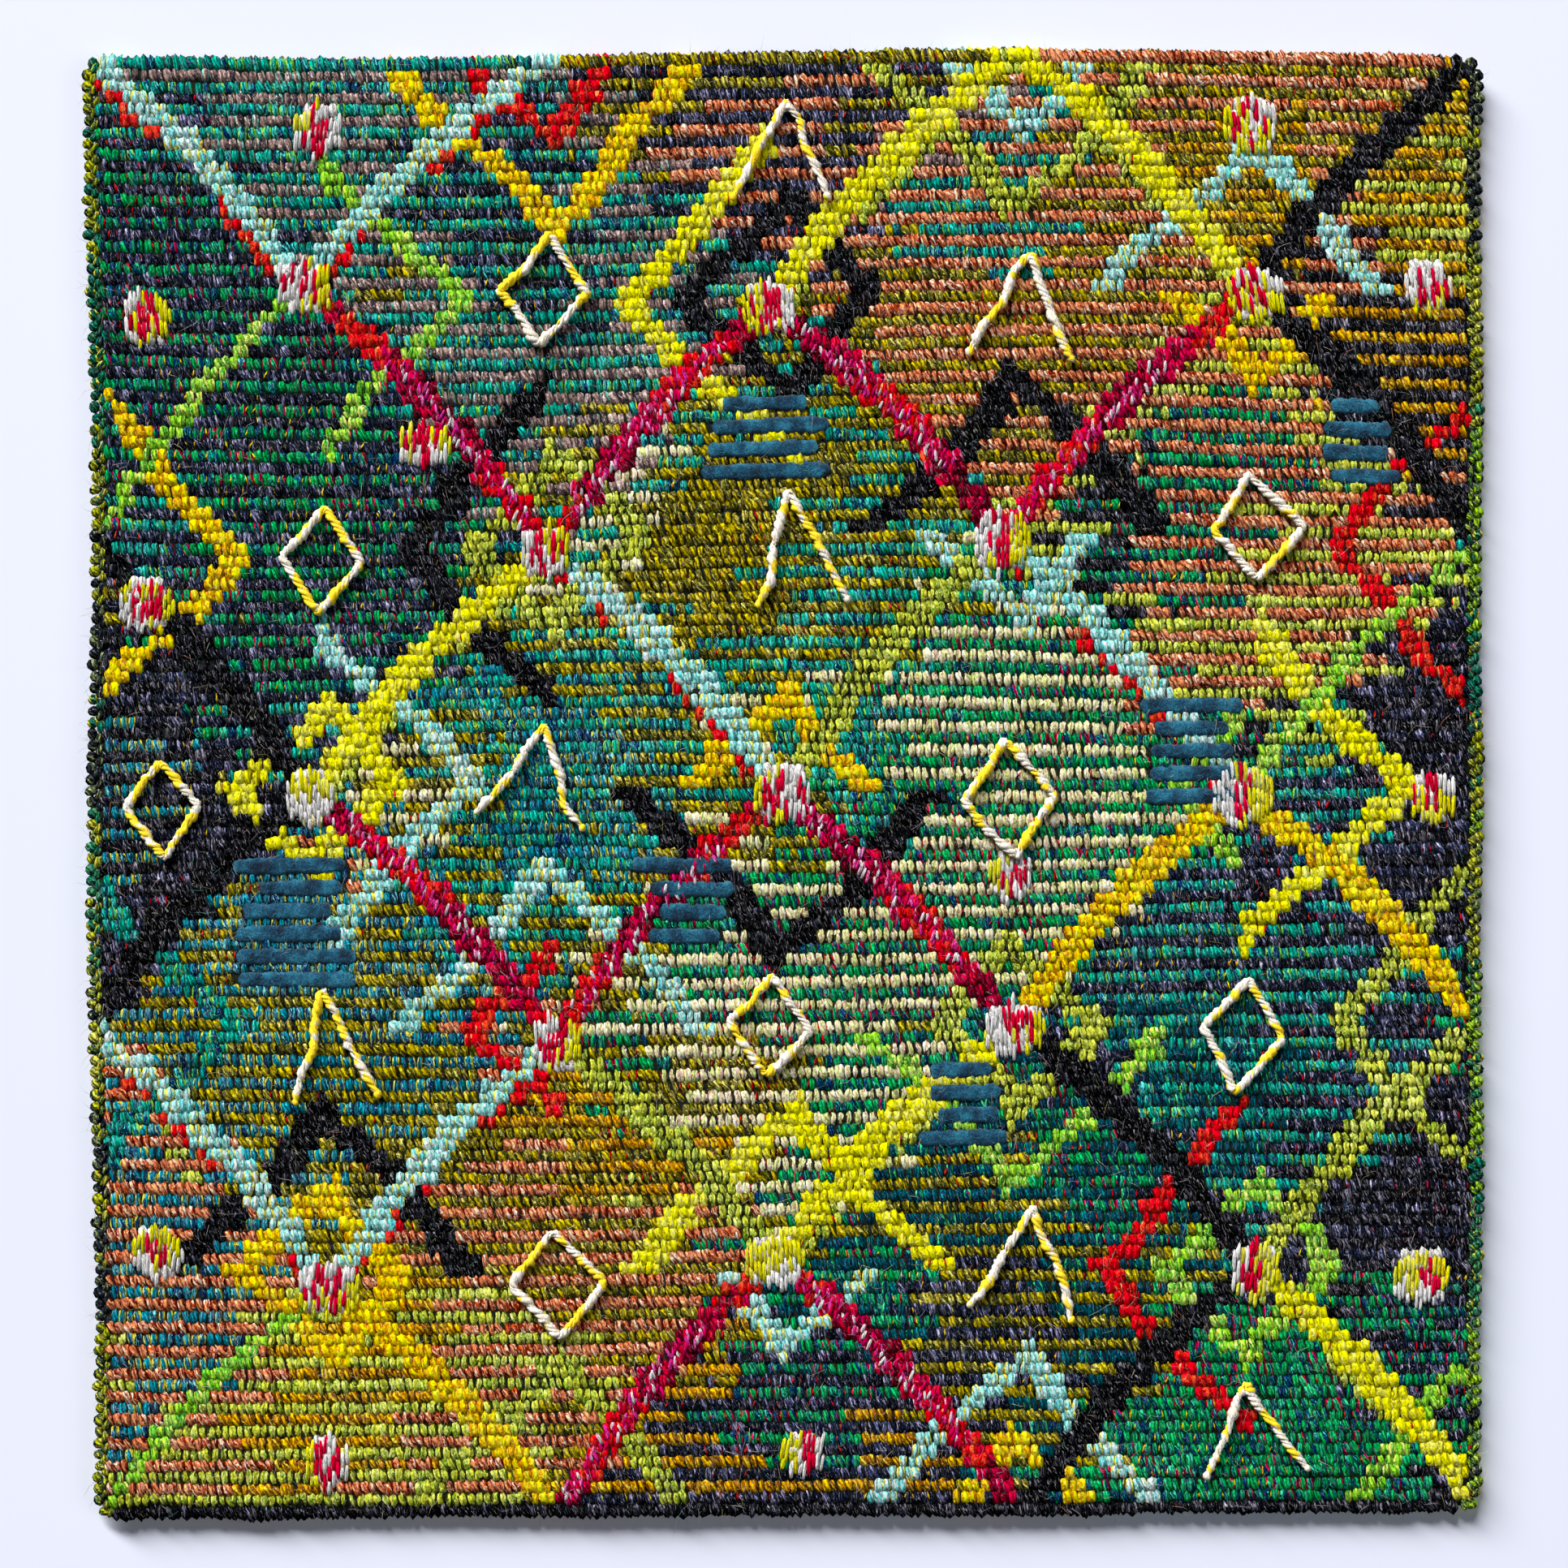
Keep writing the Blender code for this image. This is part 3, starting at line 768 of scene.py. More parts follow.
# %% The marled wool group
def wool_group():
    """Colour, with painted light and shade, and relief of a bead of marled wool."""
    tree, given, taken = new_group("marled_wool", WOOL_INPUTS, {"Color": "Color", "Height": "Float"})
    calc = partial(maths, tree)
    spot = add_node(tree, "ShaderNodeGroup", {"Squares": given["Squares"]}, node_tree=place_group).outputs
    across, along = spot["Across"], spot["Along"]
    bead, luck = parts_of(tree, spot["Bead"]), parts_of(tree, spot["Chance"])
    # A rope's strands start anywhere on the bead, and those of a lens lie evenly about its middle.
    number = calc("MULTIPLY", luck[0], STARTS)
    start = calc("SUBTRACT", number, calc("MULTIPLY", calc("FRACT", number), given["Lens"]))
    reach = calc("ADD", given["Strands"], given["Twist"])
    to_middle = calc("SUBTRACT", 0.5, calc("MULTIPLY", reach, 0.5))
    start = calc("MULTIPLY_ADD", to_middle, given["Lens"], start)
    slanted = calc("MULTIPLY_ADD", along, given["Twist"], start)
    # Noise on a plane is quick to draw, and each bead reads it at its own place.
    own = [calc("MULTIPLY", luck[part], APART) for part in (0, 1)]
    fray = noise(tree, point(tree, calc("MULTIPLY_ADD", across, FRAY_ACROSS, own[0]),
                             calc("MULTIPLY_ADD", along, FRAY_ALONG, own[1])),
                 dimensions="2D", Scale=1.0, Detail=1.0)
    turn = calc("MULTIPLY_ADD", across, given["Strands"], calc("MULTIPLY_ADD", fray, FRAY, slanted))
    arch = calc("COSINE", calc("MULTIPLY", calc("FRACT", turn), 2 * math.pi))
    arch = calc("MULTIPLY_ADD", arch, -0.5, 0.5)
    seat = point(tree, bead[0], bead[1], calc("FLOOR", turn))
    roll = add_node(tree, "ShaderNodeTexWhiteNoise", {"Vector": seat}).outputs
    tone = add_node(tree, "ShaderNodeSeparateColor", {0: roll["Color"]}).outputs
    fibre = noise(tree, point(tree, calc("MULTIPLY_ADD", turn, FIBRES_ACROSS, own[1]),
                              calc("MULTIPLY_ADD", along, FIBRES_ALONG, own[0])),
                  dimensions="2D", Scale=1.0, Detail=2.0, Roughness=FIBRES_ROUGH)

    # The colours of the strands, drifting in clouds and mixed by the fibres.
    cloth = add_node(tree, "ShaderNodeTexCoord").outputs["Object"]
    cloud = noise(tree, cloth, Scale=DRIFT_SCALE, Detail=0.0)
    second_share = calc("ADD", given["Second share"], calc("MULTIPLY_ADD", cloud, 2 * DRIFT, -DRIFT))
    mixed = calc("MULTIPLY_ADD", fibre, MARL, -MARL / 2)
    second = calc("LESS_THAN", calc("ADD", roll["Value"], mixed), second_share)
    third = calc("LESS_THAN", calc("SUBTRACT", tone[0], mixed), given["Third share"])
    colour = blended(tree, second, given["Main"], given["Second"])
    colour = blended(tree, third, colour, given["Third"])
    # A thin strand shows at the side of some beads.
    ragged = calc("MULTIPLY_ADD", fray, RIM_RAGGED, -RIM_RAGGED / 2)
    to_end = calc("ABSOLUTE", calc("MULTIPLY_ADD", along, 2.0, -1.0))
    to_end = calc("ADD", ragged, to_end, clamp=True)
    narrowing = calc("MULTIPLY", calc("POWER", to_end, 2.0), NARROWING)
    narrowing = calc("MULTIPLY_ADD", narrowing, given["Lens"], ragged)
    off_middle = calc("ABSOLUTE", calc("MULTIPLY_ADD", across, 2.0, -1.0))
    off_middle = calc("ADD", off_middle, narrowing, clamp=True)
    chosen = calc("LESS_THAN", luck[1], given["Thin share"])
    thin = calc("MULTIPLY", calc("GREATER_THAN", off_middle, THIN_FROM), chosen)
    colour = blended(tree, thin, colour, given["Thin"])

    # Fibres run from dull to bright, and the brightest few are painted glints: painted highlight.
    # Painted shade darkens each strand away from its crest, so that the crest reads as lit.
    painted_hollow_shade = calc("MULTIPLY", calc("SUBTRACT", 1.0, arch), given["Depth"])
    strand_tone = calc("MULTIPLY_ADD", tone[1], *STRAND_TONES)
    bead_tone = calc("MULTIPLY", strand_tone, calc("MULTIPLY_ADD", luck[2], *BEAD_TONES))
    bead_tone = calc("MULTIPLY", calc("SUBTRACT", PAINTED_CREST_LIGHT, painted_hollow_shade), bead_tone)
    lustre = stretched(tree, fibre, *LUSTRE_RANGE)
    painted_glint = calc("MULTIPLY_ADD", calc("POWER", lustre, PAINTED_GLINT_POWER), PAINTED_GLINT, DULL)
    fibre_tone = calc("MULTIPLY_ADD", lustre, LUSTRE, painted_glint)
    haze_place = add_node(tree, "ShaderNodeMapping", {"Vector": cloth, "Scale": HAZE_SCALE}).outputs[0]
    haze = stretched(tree, noise(tree, haze_place, Scale=1.0, Detail=1.0), *HAZE_TONES)
    tones = calc("MULTIPLY", bead_tone, calc("MULTIPLY", fibre_tone, haze))
    # Painted shade darkens the wool towards the sides and the ends of its bead, where it dives into the
    # cloth.
    painted_side_shade = calc("MULTIPLY", calc("POWER", off_middle, SIDE_POWER),
                     calc("MULTIPLY_ADD", thin, THIN_LIGHTER, 1.0))
    sunk = calc("MAXIMUM", painted_side_shade, calc("POWER", to_end, END_POWER))
    shade = calc("SUBTRACT", 1.0, calc("MULTIPLY", sunk, given["Groove"]), clamp=True)
    vector_maths = partial(add_node, tree, "ShaderNodeVectorMath")
    toned = vector_maths({0: colour, "Scale": calc("MULTIPLY", tones, shade)}, operation="SCALE").outputs[0]
    # A few fibres are paler than the strand they left.
    pale = calc("MULTIPLY", calc("GREATER_THAN", fibre, LINT_FROM), given["Lint"])
    vivid = add_node(tree, "ShaderNodeHueSaturation", {
        "Color": blended(tree, pale, toned, LINT_COLOUR), "Saturation": VIVID}).outputs[0]
    capped = vector_maths({0: vivid, 1: (BRIGHTEST,) * 3}, operation="MINIMUM").outputs[0]
    tree.links.new(capped, taken["Color"])
    tree.links.new(calc("MULTIPLY_ADD", fibre, FIBRE_RELIEF, calc("MULTIPLY", arch, STRAND_RELIEF)),
                   taken["Height"])
    return tree


marled = wool_group()
print("Nodes in the wool group:", len(marled.nodes))

# %% [markdown]
# A material is then little more than the values of one row of the yarn table. The shader itself
# stays in the material. It is rough and has neither gloss nor sheen: the painted glints, the painted
# shade and the haze of the group do their work, and light that only scatters is quick to draw.

# %% A material for each yarn
RELIEF = 0.00055
# Painted shade between two strands: how much on a rope, and how much less on a lens.
ROPE_STRAND_SHADE, SOFTER = 1.22, 0.36  # how dark it is between two strands, and how much less on a lens


# The depth of a material is how much painted shade darkens its wool between two strands.
def wool_material(name, squares, row, lint=0.2, depth=ROPE_STRAND_SHADE, roughness=0.86):
    """Marled wool of these colours."""
    material, tree, shader = new_material(name, Roughness=roughness, Metallic=0.0, Specular_IOR_Level=0.0)
    wool = add_node(tree, "ShaderNodeGroup", {
        "Squares": squares, "Main": srgb(row.main), "Second": srgb(row.second), "Third": srgb(row.third),
        "Second share": row.second_share, "Third share": row.third_share, "Thin": srgb(row.thin),
        "Thin share": row.thin_share, "Strands": row.strands, "Twist": row.slant, "Groove": row.groove,
        "Lens": row.lens, "Depth": depth, "Lint": lint}, node_tree=marled)
    tree.links.new(wool.outputs["Color"], shader.inputs["Base Color"])
    add_relief(tree, shader, wool.outputs["Height"], RELIEF)
    return material


# %% [markdown]
# ## Beads of every yarn
#
# Now the beads can be laid. Each yarn is one piece, as each is one thread in the real cloth, and
# the beads of its passes behind the cloth belong to it too. Width, length, lean and height vary
# a little from bead to bead, because no weaver beats every pick down equally hard.

# %% Lay the beads
WIDE_SPREAD, LONG_SPREAD = 1.46, 1.50  # how far a bead reaches past the room it has
BEAD_SEAT, FACE_RISE, BACK_RISE = 0.00045, 0.00130, 0.00120
WIDTH_SPREAD, LENGTH_SPREAD, RISE_SPREAD, LEAN_SPREAD = 0.15, 0.09, 0.20, 8.0
JITTER, WANDER_X, WANDER_Z, WANDER_EVERY = 0.00010, 0.00030, 0.00024, 6
PLAIN_LENGTH = 1.18
FUZZY = ("navy", "charcoal", "black")
FUZZY_LINT, PLAIN_LINT = 0.26, 0.12


def wandering(reach):
    """One offset for each bead, that drifts slowly along its rib."""
    bends = np.arange(BEADS_ACROSS // WANDER_EVERY + 2)
    offsets = chance.normal(0, reach, (WARP_COUNT, len(bends)))
    places = np.arange(BEADS_ACROSS) / WANDER_EVERY
    return np.concatenate([np.interp(places, bends, row) for row in offsets])


middle_jitter = chance.normal(0, JITTER, (rib.size, 2))
middle_jitter += np.stack([wandering(WANDER_X), wandering(WANDER_Z)], axis=-1)
# Behind the cloth the two yarns of a stripe change places.
behind = np.where(odd, np.roll(yarn, BEADS_ACROSS), np.roll(yarn, -BEADS_ACROSS))
behind[-BEADS_ACROSS:] = yarn[-BEADS_ACROSS:]
for number, (name, row) in enumerate(YARNS.items()):
    groups = []
    face_bead = LENS_BEAD if row.lens == 1.0 else FACE_BEAD
    for pattern, here, rise, out in ((face_bead, (yarn == number) & ~under_bar, FACE_RISE, -1),
                                     (BACK_BEAD, behind == number, BACK_RISE, 1)):
        count = int(here.sum())
        if not count:
            continue
        middles = on_cloth(bead_x[here] + middle_jitter[here, 0], down[here], -out * BEAD_SEAT)
        middles[:, 2] += middle_jitter[here, 1]
        spread = chance.normal(1, 1, (4, count)).clip(-1, 3) - 1
        half_wide = BEAD_PITCH / 2 * row.width * WIDE_SPREAD * (1 + WIDTH_SPREAD * spread[0])
        half_long = WARP_PITCH / 2 * row.length * LONG_SPREAD * (1 + LENGTH_SPREAD * spread[1])
        high = rise * row.length / PLAIN_LENGTH * (1 + RISE_SPREAD * spread[2])
        lean = np.radians(row.lean + LEAN_SPREAD * spread[3]) * -out
        points = laid(pattern, middles, half_wide, half_long, high, lean, out)
        groups.append((points, pattern.faces, pattern.spots, 0))
    piece = joined_mesh("weft_" + name, groups)
    piece.data.materials.append(wool_material(
        "wool_" + name, piece["squares"], row, lint=FUZZY_LINT if name in FUZZY else PLAIN_LINT,
        depth=ROPE_STRAND_SHADE - SOFTER * row.lens))
    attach(piece, "root")

# %% [markdown]
# ## The body of the cloth
#
# Between the beads one looks down to the imported wool and the warps. This body is a sheet with a
# rib for each warp, a little thinner than the cloth, so that the beads stand in it. It is made
# the way a sheet usually is: a grid, made thick with Solidify, with its points moved afterwards.
# Its colour is almost black: painted shade for the grooves between the beads.

# %% The ribbed body
BODY_COLUMNS = 8
BODY_RIB, BODY_GROOVE, BODY_RIM = 0.00105, 0.00070, 0.00050


def ribbed_body():
    """A closed sheet whose rows are the ribs and the grooves between them."""
    rows = 2 * WARP_COUNT
    bm = bmesh.new()
    bmesh.ops.create_grid(bm, x_segments=BODY_COLUMNS, y_segments=rows, size=0.5, calc_uvs=False)
    mesh = bpy.data.meshes.new("grid")
    bm.to_mesh(mesh)
    bm.free()
    flat = bpy.data.objects.new("grid", mesh)
    bpy.context.scene.collection.objects.link(flat)
    thick = flat.modifiers.new("Thickness", "SOLIDIFY")
    thick.thickness = THICKNESS
    thick.offset = 0.0
    graph = bpy.context.evaluated_depsgraph_get()
    made = bpy.data.meshes.new_from_object(flat.evaluated_get(graph))
    bpy.data.objects.remove(flat)
    bpy.data.meshes.remove(mesh)

    points = np.empty(len(made.vertices) * 3)
    made.vertices.foreach_get("co", points)
    points = points.reshape(-1, 3)
    along = 0.5 - points[:, 1]
    row = np.rint(along * rows).astype(int)
    half = np.where(row % 2 == 0, BODY_GROOVE, BODY_RIB)
    half = np.where((row == 0) | (row == rows), BODY_RIM, half)
    left, right = left_edge(along) + BINDING, right_edge(along) - BINDING
    x = left + (right - left) * (points[:, 0] + 0.5)
    side = np.where(points[:, 2] > 0, 1, -1)
    made.vertices.foreach_set("co", on_cloth(x, along, side * half).ravel())
    layer = made.uv_layers.new(name=MAP_NAME)
    corners = np.empty(len(made.loops), int)
    made.loops.foreach_get("vertex_index", corners)
    front = side[corners] > 0
    # The front takes the left half of the map, and the back the right half.
    spots = np.stack([(points[corners, 0] + 0.5) * 0.48 + np.where(front, 0.01, 0.51),
                      1 - along[corners]], axis=-1)
    layer.data.foreach_set("uv", spots.ravel())
    made.shade_smooth()
    body = bpy.data.objects.new("packed_weft", made)
    bpy.context.scene.collection.objects.link(body)
    return body


body = ribbed_body()
# The body is painted almost black, as painted shade for the grooves between the beads; the same cloud is its
# bump.
SHADE_DARKEST, SHADE_LIGHTEST = (0.003, 0.003, 0.004, 1), (0.020, 0.026, 0.018, 1)
painted_shade_material, painted_shade_tree, painted_shade_shader = new_material("packed_wool", Roughness=0.95, Specular_IOR_Level=0.05)
painted_shade_place = add_node(painted_shade_tree, "ShaderNodeTexCoord").outputs["Object"]
shade_and_relief_cloud = noise(painted_shade_tree, painted_shade_place, Scale=420.0, Detail=2.0)
painted_shade_colour = ramp(painted_shade_tree, shade_and_relief_cloud, ((0.0, SHADE_DARKEST), (1.0, SHADE_LIGHTEST)))
painted_shade_tree.links.new(painted_shade_colour, painted_shade_shader.inputs["Base Color"])
add_relief(painted_shade_tree, painted_shade_shader, shade_and_relief_cloud, distance=0.0003)
body.data.materials.clear()
body.data.materials.append(painted_shade_material)
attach(body, "root")
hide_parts("cloth")
print("Triangles in the body:", triangles(body))

# %% [markdown]
# ## The bound edges
#
# The warps end at the two upright edges, and a thick doubled wool is knotted round every one of
# them. Each knot shows two lobes: the turn round the edge, and the smaller tail that was pulled
# through and leans the other way. A spindle with a round section makes both. The wool changes its
# colour in runs, with a stray knot of the next here and there.

# %% Knots down both edges
KNOT_SIDES = 6
ROUND = tuple((math.cos(a), math.sin(a)) for a in np.linspace(math.pi, -math.pi, KNOT_SIDES, endpoint=False))
KNOT = spindle(ROUND, ((0.62, 0.76, 0.84), (0.0, 1.0, 1.0), (-0.62, 0.76, 0.84)), 0.0)
KNOT_YARNS = yarn_table(
    ("olive", "8E9424 D0CC58 2C4A2C 1C2A20", 0.34, 0.26, 0.3, 1, 1, 0, 2.4, 1.4, 0.7, 0.2),
    ("lime", "7AA62A C4E05A 1F5A3A 1C2A20", 0.34, 0.26, 0.3, 1, 1, 0, 2.4, 1.4, 0.7, 0.2),
    ("green", "16604C 5AA060 0C3038 C8C848", 0.34, 0.26, 0.3, 1, 1, 0, 2.4, 1.4, 0.7, 0.2),
    ("dark", "1A2028 3A4440 6E7A4A 0A0C10", 0.30, 0.16, 0.3, 1, 1, 0, 2.4, 1.4, 0.7, 0.2),
)
KNOT_RUNS = {"left": ("olive", "green", "olive", "dark", "green", "olive", "dark", "olive"),
             "right": ("dark", "olive", "lime", "green", "olive", "lime", "green", "lime")}
KNOT_STRAYS, RUN_JITTER = 0.22, 0.12
KNOT_JITTER = 0.00022
KNOT_WIDTH_SPREAD, KNOT_LENGTH_SPREAD, KNOT_LEAN_SPREAD = 0.14, 0.09, 10
ENDS = (0.004, 0.996)  # shares of the height between which a knot or a float may lie
Lobe = namedtuple("Lobe", "inset rise half_wide half_thick half_long lean shift")
LOBES = {
    "left": (Lobe(0.0011, 0.0, 0.00180, 0.00165, 0.00178, 12, 0.0),
             Lobe(0.0030, 0.0006, 0.00120, 0.00110, 0.00185, -24, 0.4)),
    "right": (Lobe(0.0010, 0.0, 0.00180, 0.00160, 0.00174, -10, 0.0),
              Lobe(0.0028, 0.0007, 0.00105, 0.00100, 0.00170, 22, 0.4)),
}


def knots(side, edge, inwards):
    """The column of knots down one edge, in runs of one wool with strays of the next."""
    runs = KNOT_RUNS[side]
    run = np.arange(WARP_COUNT) / WARP_COUNT * len(runs) + chance.normal(0, RUN_JITTER, WARP_COUNT)
    run = run.astype(int) + (chance.random(WARP_COUNT) < KNOT_STRAYS)
    wool_of_knot = np.array([runs[k % len(runs)] for k in run.clip(0)])
    groups = []
    for lobe in LOBES[side]:
        for slot, name in enumerate(KNOT_YARNS):
            ribs = np.flatnonzero(wool_of_knot == name)
            count = len(ribs)
            if not count:
                continue
            spread = chance.normal(0, 1, (4, count)).clip(-2, 2)
            at = ((ribs + 0.5 + lobe.shift) / WARP_COUNT).clip(*ENDS)
            x = edge(at) + inwards * lobe.inset + spread[0] * KNOT_JITTER
            half_wide = lobe.half_wide * (1 + KNOT_WIDTH_SPREAD * spread[1])
            half_long = lobe.half_long * (1 + KNOT_LENGTH_SPREAD * spread[2])
            lean = np.radians(lobe.lean + KNOT_LEAN_SPREAD * spread[3])
            points = laid(KNOT, on_cloth(x, at, lobe.rise), half_wide, half_long,
                          np.full(count, lobe.half_thick), lean)
            groups.append((points, KNOT.faces, KNOT.spots, slot))
    piece = joined_mesh(side + "_edge_knots", groups)
    for name, row in KNOT_YARNS.items():
        piece.data.materials.append(wool_material(
            "knotted_wool_" + side + "_" + name, piece["squares"], row))
    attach(piece, "root")
    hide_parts(side + "_knots")
    return piece


edge_pieces = [knots("left", left_edge, 1), knots("right", right_edge, -1)]
print("Triangles in the knots:", sum(triangles(p) for p in edge_pieces))

# %% [markdown]
# ## Floats
#
# On a lozenge the yarn passes over two or three warps at once. Such a pass is a float: a long,
# smooth, plump drop that covers the ribs below it. Most lozenges are part white and part yellow
# with red in their middle. Along the crimson lines small drops in pinks, red and white are
# scattered, and lean to and fro. Each colour of float is one piece.

# %% Float patterns and places
FLOAT = spindle(ARCH, ((0.80, 0.76, 0.80), (0.32, 1.0, 1.0), (-0.32, 1.0, 1.0), (-0.80, 0.78, 0.80)), 0.05)
FLOAT_PITCH = 1.20
FLOAT_LONG, FLOAT_OVERLAP = (3.8, 6.8), 0.94
FLOAT_TIP = 0.35  # its tips dive this much further
FLOAT_LEAN_SPREAD, LOZENGE_LEAN_SPREAD = 3, 4
COLUMN_TALL, COLUMN_FALL = 1.15, 0.55  # a lozenge's height in its middle, and how much its sides lack
COLUMN_RAGGED, START_RAGGED = 1.6, 1.0
RED_LOZENGES, RED_FLOATS = 0.92, 0.52  # how many have a red middle, and how much of it is red
YELLOW_FROM, YELLOW_RAGGED = (-0.35, 0.30), 0.25
FLOAT_YARNS = yarn_table(
    ("white", "FCF8F0 FFFFFF ECDCDA FFFFFF", 0.35, 0.10, 0.0, 1, 1, 0, 1.8, 0.6, 0.40, 0.3),
    ("yellow", "FAE01E FCF060 ECB80A FFFFFF", 0.35, 0.16, 0.0, 1, 1, 0, 1.8, 0.6, 0.40, 0.3),
    ("red", "DC1030 F43C50 A80822 FFFFFF", 0.30, 0.20, 0.0, 1, 1, 0, 1.8, 0.6, 0.40, 0.3),
    ("pink", "F44488 FC9CC0 D01C5C FFFFFF", 0.36, 0.20, 0.0, 1, 1, 0, 2.2, 0.8, 0.45, 0.3),
    ("rose", "D81850 F04080 9C0C34 FFFFFF", 0.34, 0.22, 0.0, 1, 1, 0, 2.2, 0.8, 0.45, 0.3),
    ("blush", "FCD0DA FFF0F0 F49CB8 FFFFFF", 0.36, 0.20, 0.0, 1, 1, 0, 2.2, 0.8, 0.45, 0.3),
)
floats = {name: [] for name in FLOAT_YARNS}


def add_float(colour, x, down_mm, half_long, lean, half_wide=0.70, sunk=0.0):
    """Notes one float, in millimetres and degrees."""
    floats[colour].append((x, down_mm, half_long, lean, half_wide, sunk))


for place in lozenges:
    lean = chance.normal(0, LOZENGE_LEAN_SPREAD)
    red_middle = chance.random() < RED_LOZENGES
    yellow_side = chance.uniform(0, 2 * np.pi)
    yellow_from = chance.uniform(*YELLOW_FROM)
    for k in range(int(2 * place.half_wide / FLOAT_PITCH) + 1):
        x = place.x - place.half_wide + (k + 0.5) * FLOAT_PITCH
        off = abs(x - place.x) / place.half_wide
        ragged = chance.uniform(-COLUMN_RAGGED, COLUMN_RAGGED)
        tall = place.half_high * (COLUMN_TALL - COLUMN_FALL * off) + ragged
        at = -tall + chance.uniform(-START_RAGGED, START_RAGGED)
        while at < tall - COLUMN_RAGGED:
            long = min(chance.uniform(*FLOAT_LONG), tall - at + START_RAGGED)
            middle = at + long / 2
            to_yellow = ((x - place.x) / place.half_wide * math.cos(yellow_side)
                         + middle / place.half_high * math.sin(yellow_side))
            yellow = to_yellow + chance.normal(0, YELLOW_RAGGED) > yellow_from
            colour = "yellow" if yellow else "white"
            inside = abs(middle) / place.half_high + off < 1.0
            if red_middle and inside and chance.random() < RED_FLOATS:
                colour = "red"
            add_float(colour, x, place.down + middle, long / 2 + FLOAT_TIP,
                      lean + chance.normal(0, FLOAT_LEAN_SPREAD))
            at += long * FLOAT_OVERLAP

# The drops along the crimson lines.
DROP_STEP, DROP_ASIDE = 0.72, 2.3
DROP_LEAN, DROP_LEAN_SPREAD, DROP_SLANT = 12, 5, 0.2
DROP_LONG, DROP_HALF_WIDE = (1.3, 2.1), 0.62
DROP_SUNK = 0.25
STRETCH_FROM, STRETCH = (0.04, 0.30), 0.66  # the stretch of a line that carries drops
DROP_COLOURS = ("pink", "rose", "blush", "rose", "pink", "red",
                "pink", "blush", "rose", "pink", "white", "rose")
for line in LINES:
    if line.yarn != "crimson":
        continue
    start, end = crossing(line.from_i, line.from_j), crossing(line.to_i, line.to_j)
    length = np.hypot(*(end - start))
    way = (end - start) / length
    slant = math.degrees(math.atan(way[0] / way[1]))
    first = chance.uniform(*STRETCH_FROM)
    for k, at in enumerate(np.arange(first * length, (first + STRETCH) * length, DROP_STEP)):
        bow = bow_side(line) * LINE_BOW * math.sin(math.pi * at / length)
        off_line = bow + DROP_ASIDE * chance.uniform(-1, 1)
        x = start[0] + way[0] * at - way[1] * off_line
        down_mm = start[1] + way[1] * at + way[0] * off_line
        colour = DROP_COLOURS[(k + int(chance.integers(0, 2))) % len(DROP_COLOURS)]
        half_long = chance.uniform(*DROP_LONG)
        lean = DROP_SLANT * slant + (DROP_LEAN if k % 2 else -DROP_LEAN)
        add_float(colour, x, down_mm, half_long, lean + chance.normal(0, DROP_LEAN_SPREAD),
                  DROP_HALF_WIDE, DROP_SUNK * (1 + chance.uniform(0, 1)))
print("Floats:", sum(len(rows) for rows in floats.values()))


# %% Make the floats
FLOAT_SEAT, SEAT_SPREAD, FLOAT_RISE = 0.00110, 0.0003, 0.00115
FLOAT_RISE_SPREAD, FLOAT_WIDTH_SPREAD = 0.12, 0.1


def chart_to_cloth(x_mm, down_mm):
    """X in metres and share of the height, of a place on the chart."""
    at = np.clip(np.asarray(down_mm) / (HEIGHT * 1000), *ENDS)
    inside = np.asarray(x_mm) / (WIDE * 1000) + 0.5
    left, right = left_edge(at) + BINDING, right_edge(at) - BINDING
    return left + (right - left) * inside, at


def varied(amount, count):
    """Factors around one that vary by this amount."""
    return 1 + amount * chance.normal(0, 1, count).clip(-2, 2)


float_pieces = []
for name, rows in floats.items():
    x_mm, down_mm, half_long, lean, half_wide, sunk = np.array(rows).T
    count = len(rows)
    x, at = chart_to_cloth(x_mm, down_mm)
    middles = on_cloth(x, at, FLOAT_SEAT - sunk / 1000 + chance.uniform(0, SEAT_SPREAD, count))
    rise = FLOAT_RISE * varied(FLOAT_RISE_SPREAD, count)
    half_wide = half_wide / 1000 * varied(FLOAT_WIDTH_SPREAD, count)
    points = laid(FLOAT, middles, half_wide, half_long / 1000, rise, np.radians(-lean))
    piece = joined_mesh("floats_" + name, [(points, FLOAT.faces, FLOAT.spots, 0)])
    piece.data.materials.append(wool_material(
        "float_wool_" + name, piece["squares"], FLOAT_YARNS[name], lint=0.0, depth=0.42, roughness=0.7))
    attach(piece, "root")
    float_pieces.append(piece)
print("Triangles in the floats:", sum(triangles(p) for p in float_pieces))

# %% [markdown]
# ## Flecks
#
# A very thin bright thread was wound in with some of the wefts. It surfaces between two beads now
# and then as a short fleck, scarlet among the dark greens and along the lower rim of the lemon
# lines, and gold among the teals. A fleck is the smallest spindle there is: one ring and two tips.

# %% Flecks of thin thread
FLECK = spindle(LOW_ARCH, ((0.0, 1.0, 1.0),), 0.2)
FLECKS = {"scarlet": ("olive", "emerald", "navy", "cream", "dark_teal"),
          "gold": ("teal", "navy", "emerald")}
FLECK_SHARE, RIM_FLECK_SHARE = 0.26, 0.42
FLECK_CLOUD = 0.20
FLECK_SEAT, FLECK_LEAN_SPREAD = 0.00100, 16
FLECK_WIDE, FLECK_LONG, FLECK_RISE = (0.00032, 0.00055), (0.0010, 0.0019), (0.0007, 0.0010)
fleck_cloud = (swing(chart_x, 1, 29, swing(chart_down, 2.2, 37, 0))
               * swing(chart_down, 1, 33, swing(chart_x, 1.4, 31, 0)))
lemon = NAMES.index("lemon")
lemon_rim = (yarn == lemon) & (np.roll(yarn, -BEADS_ACROSS) != lemon)
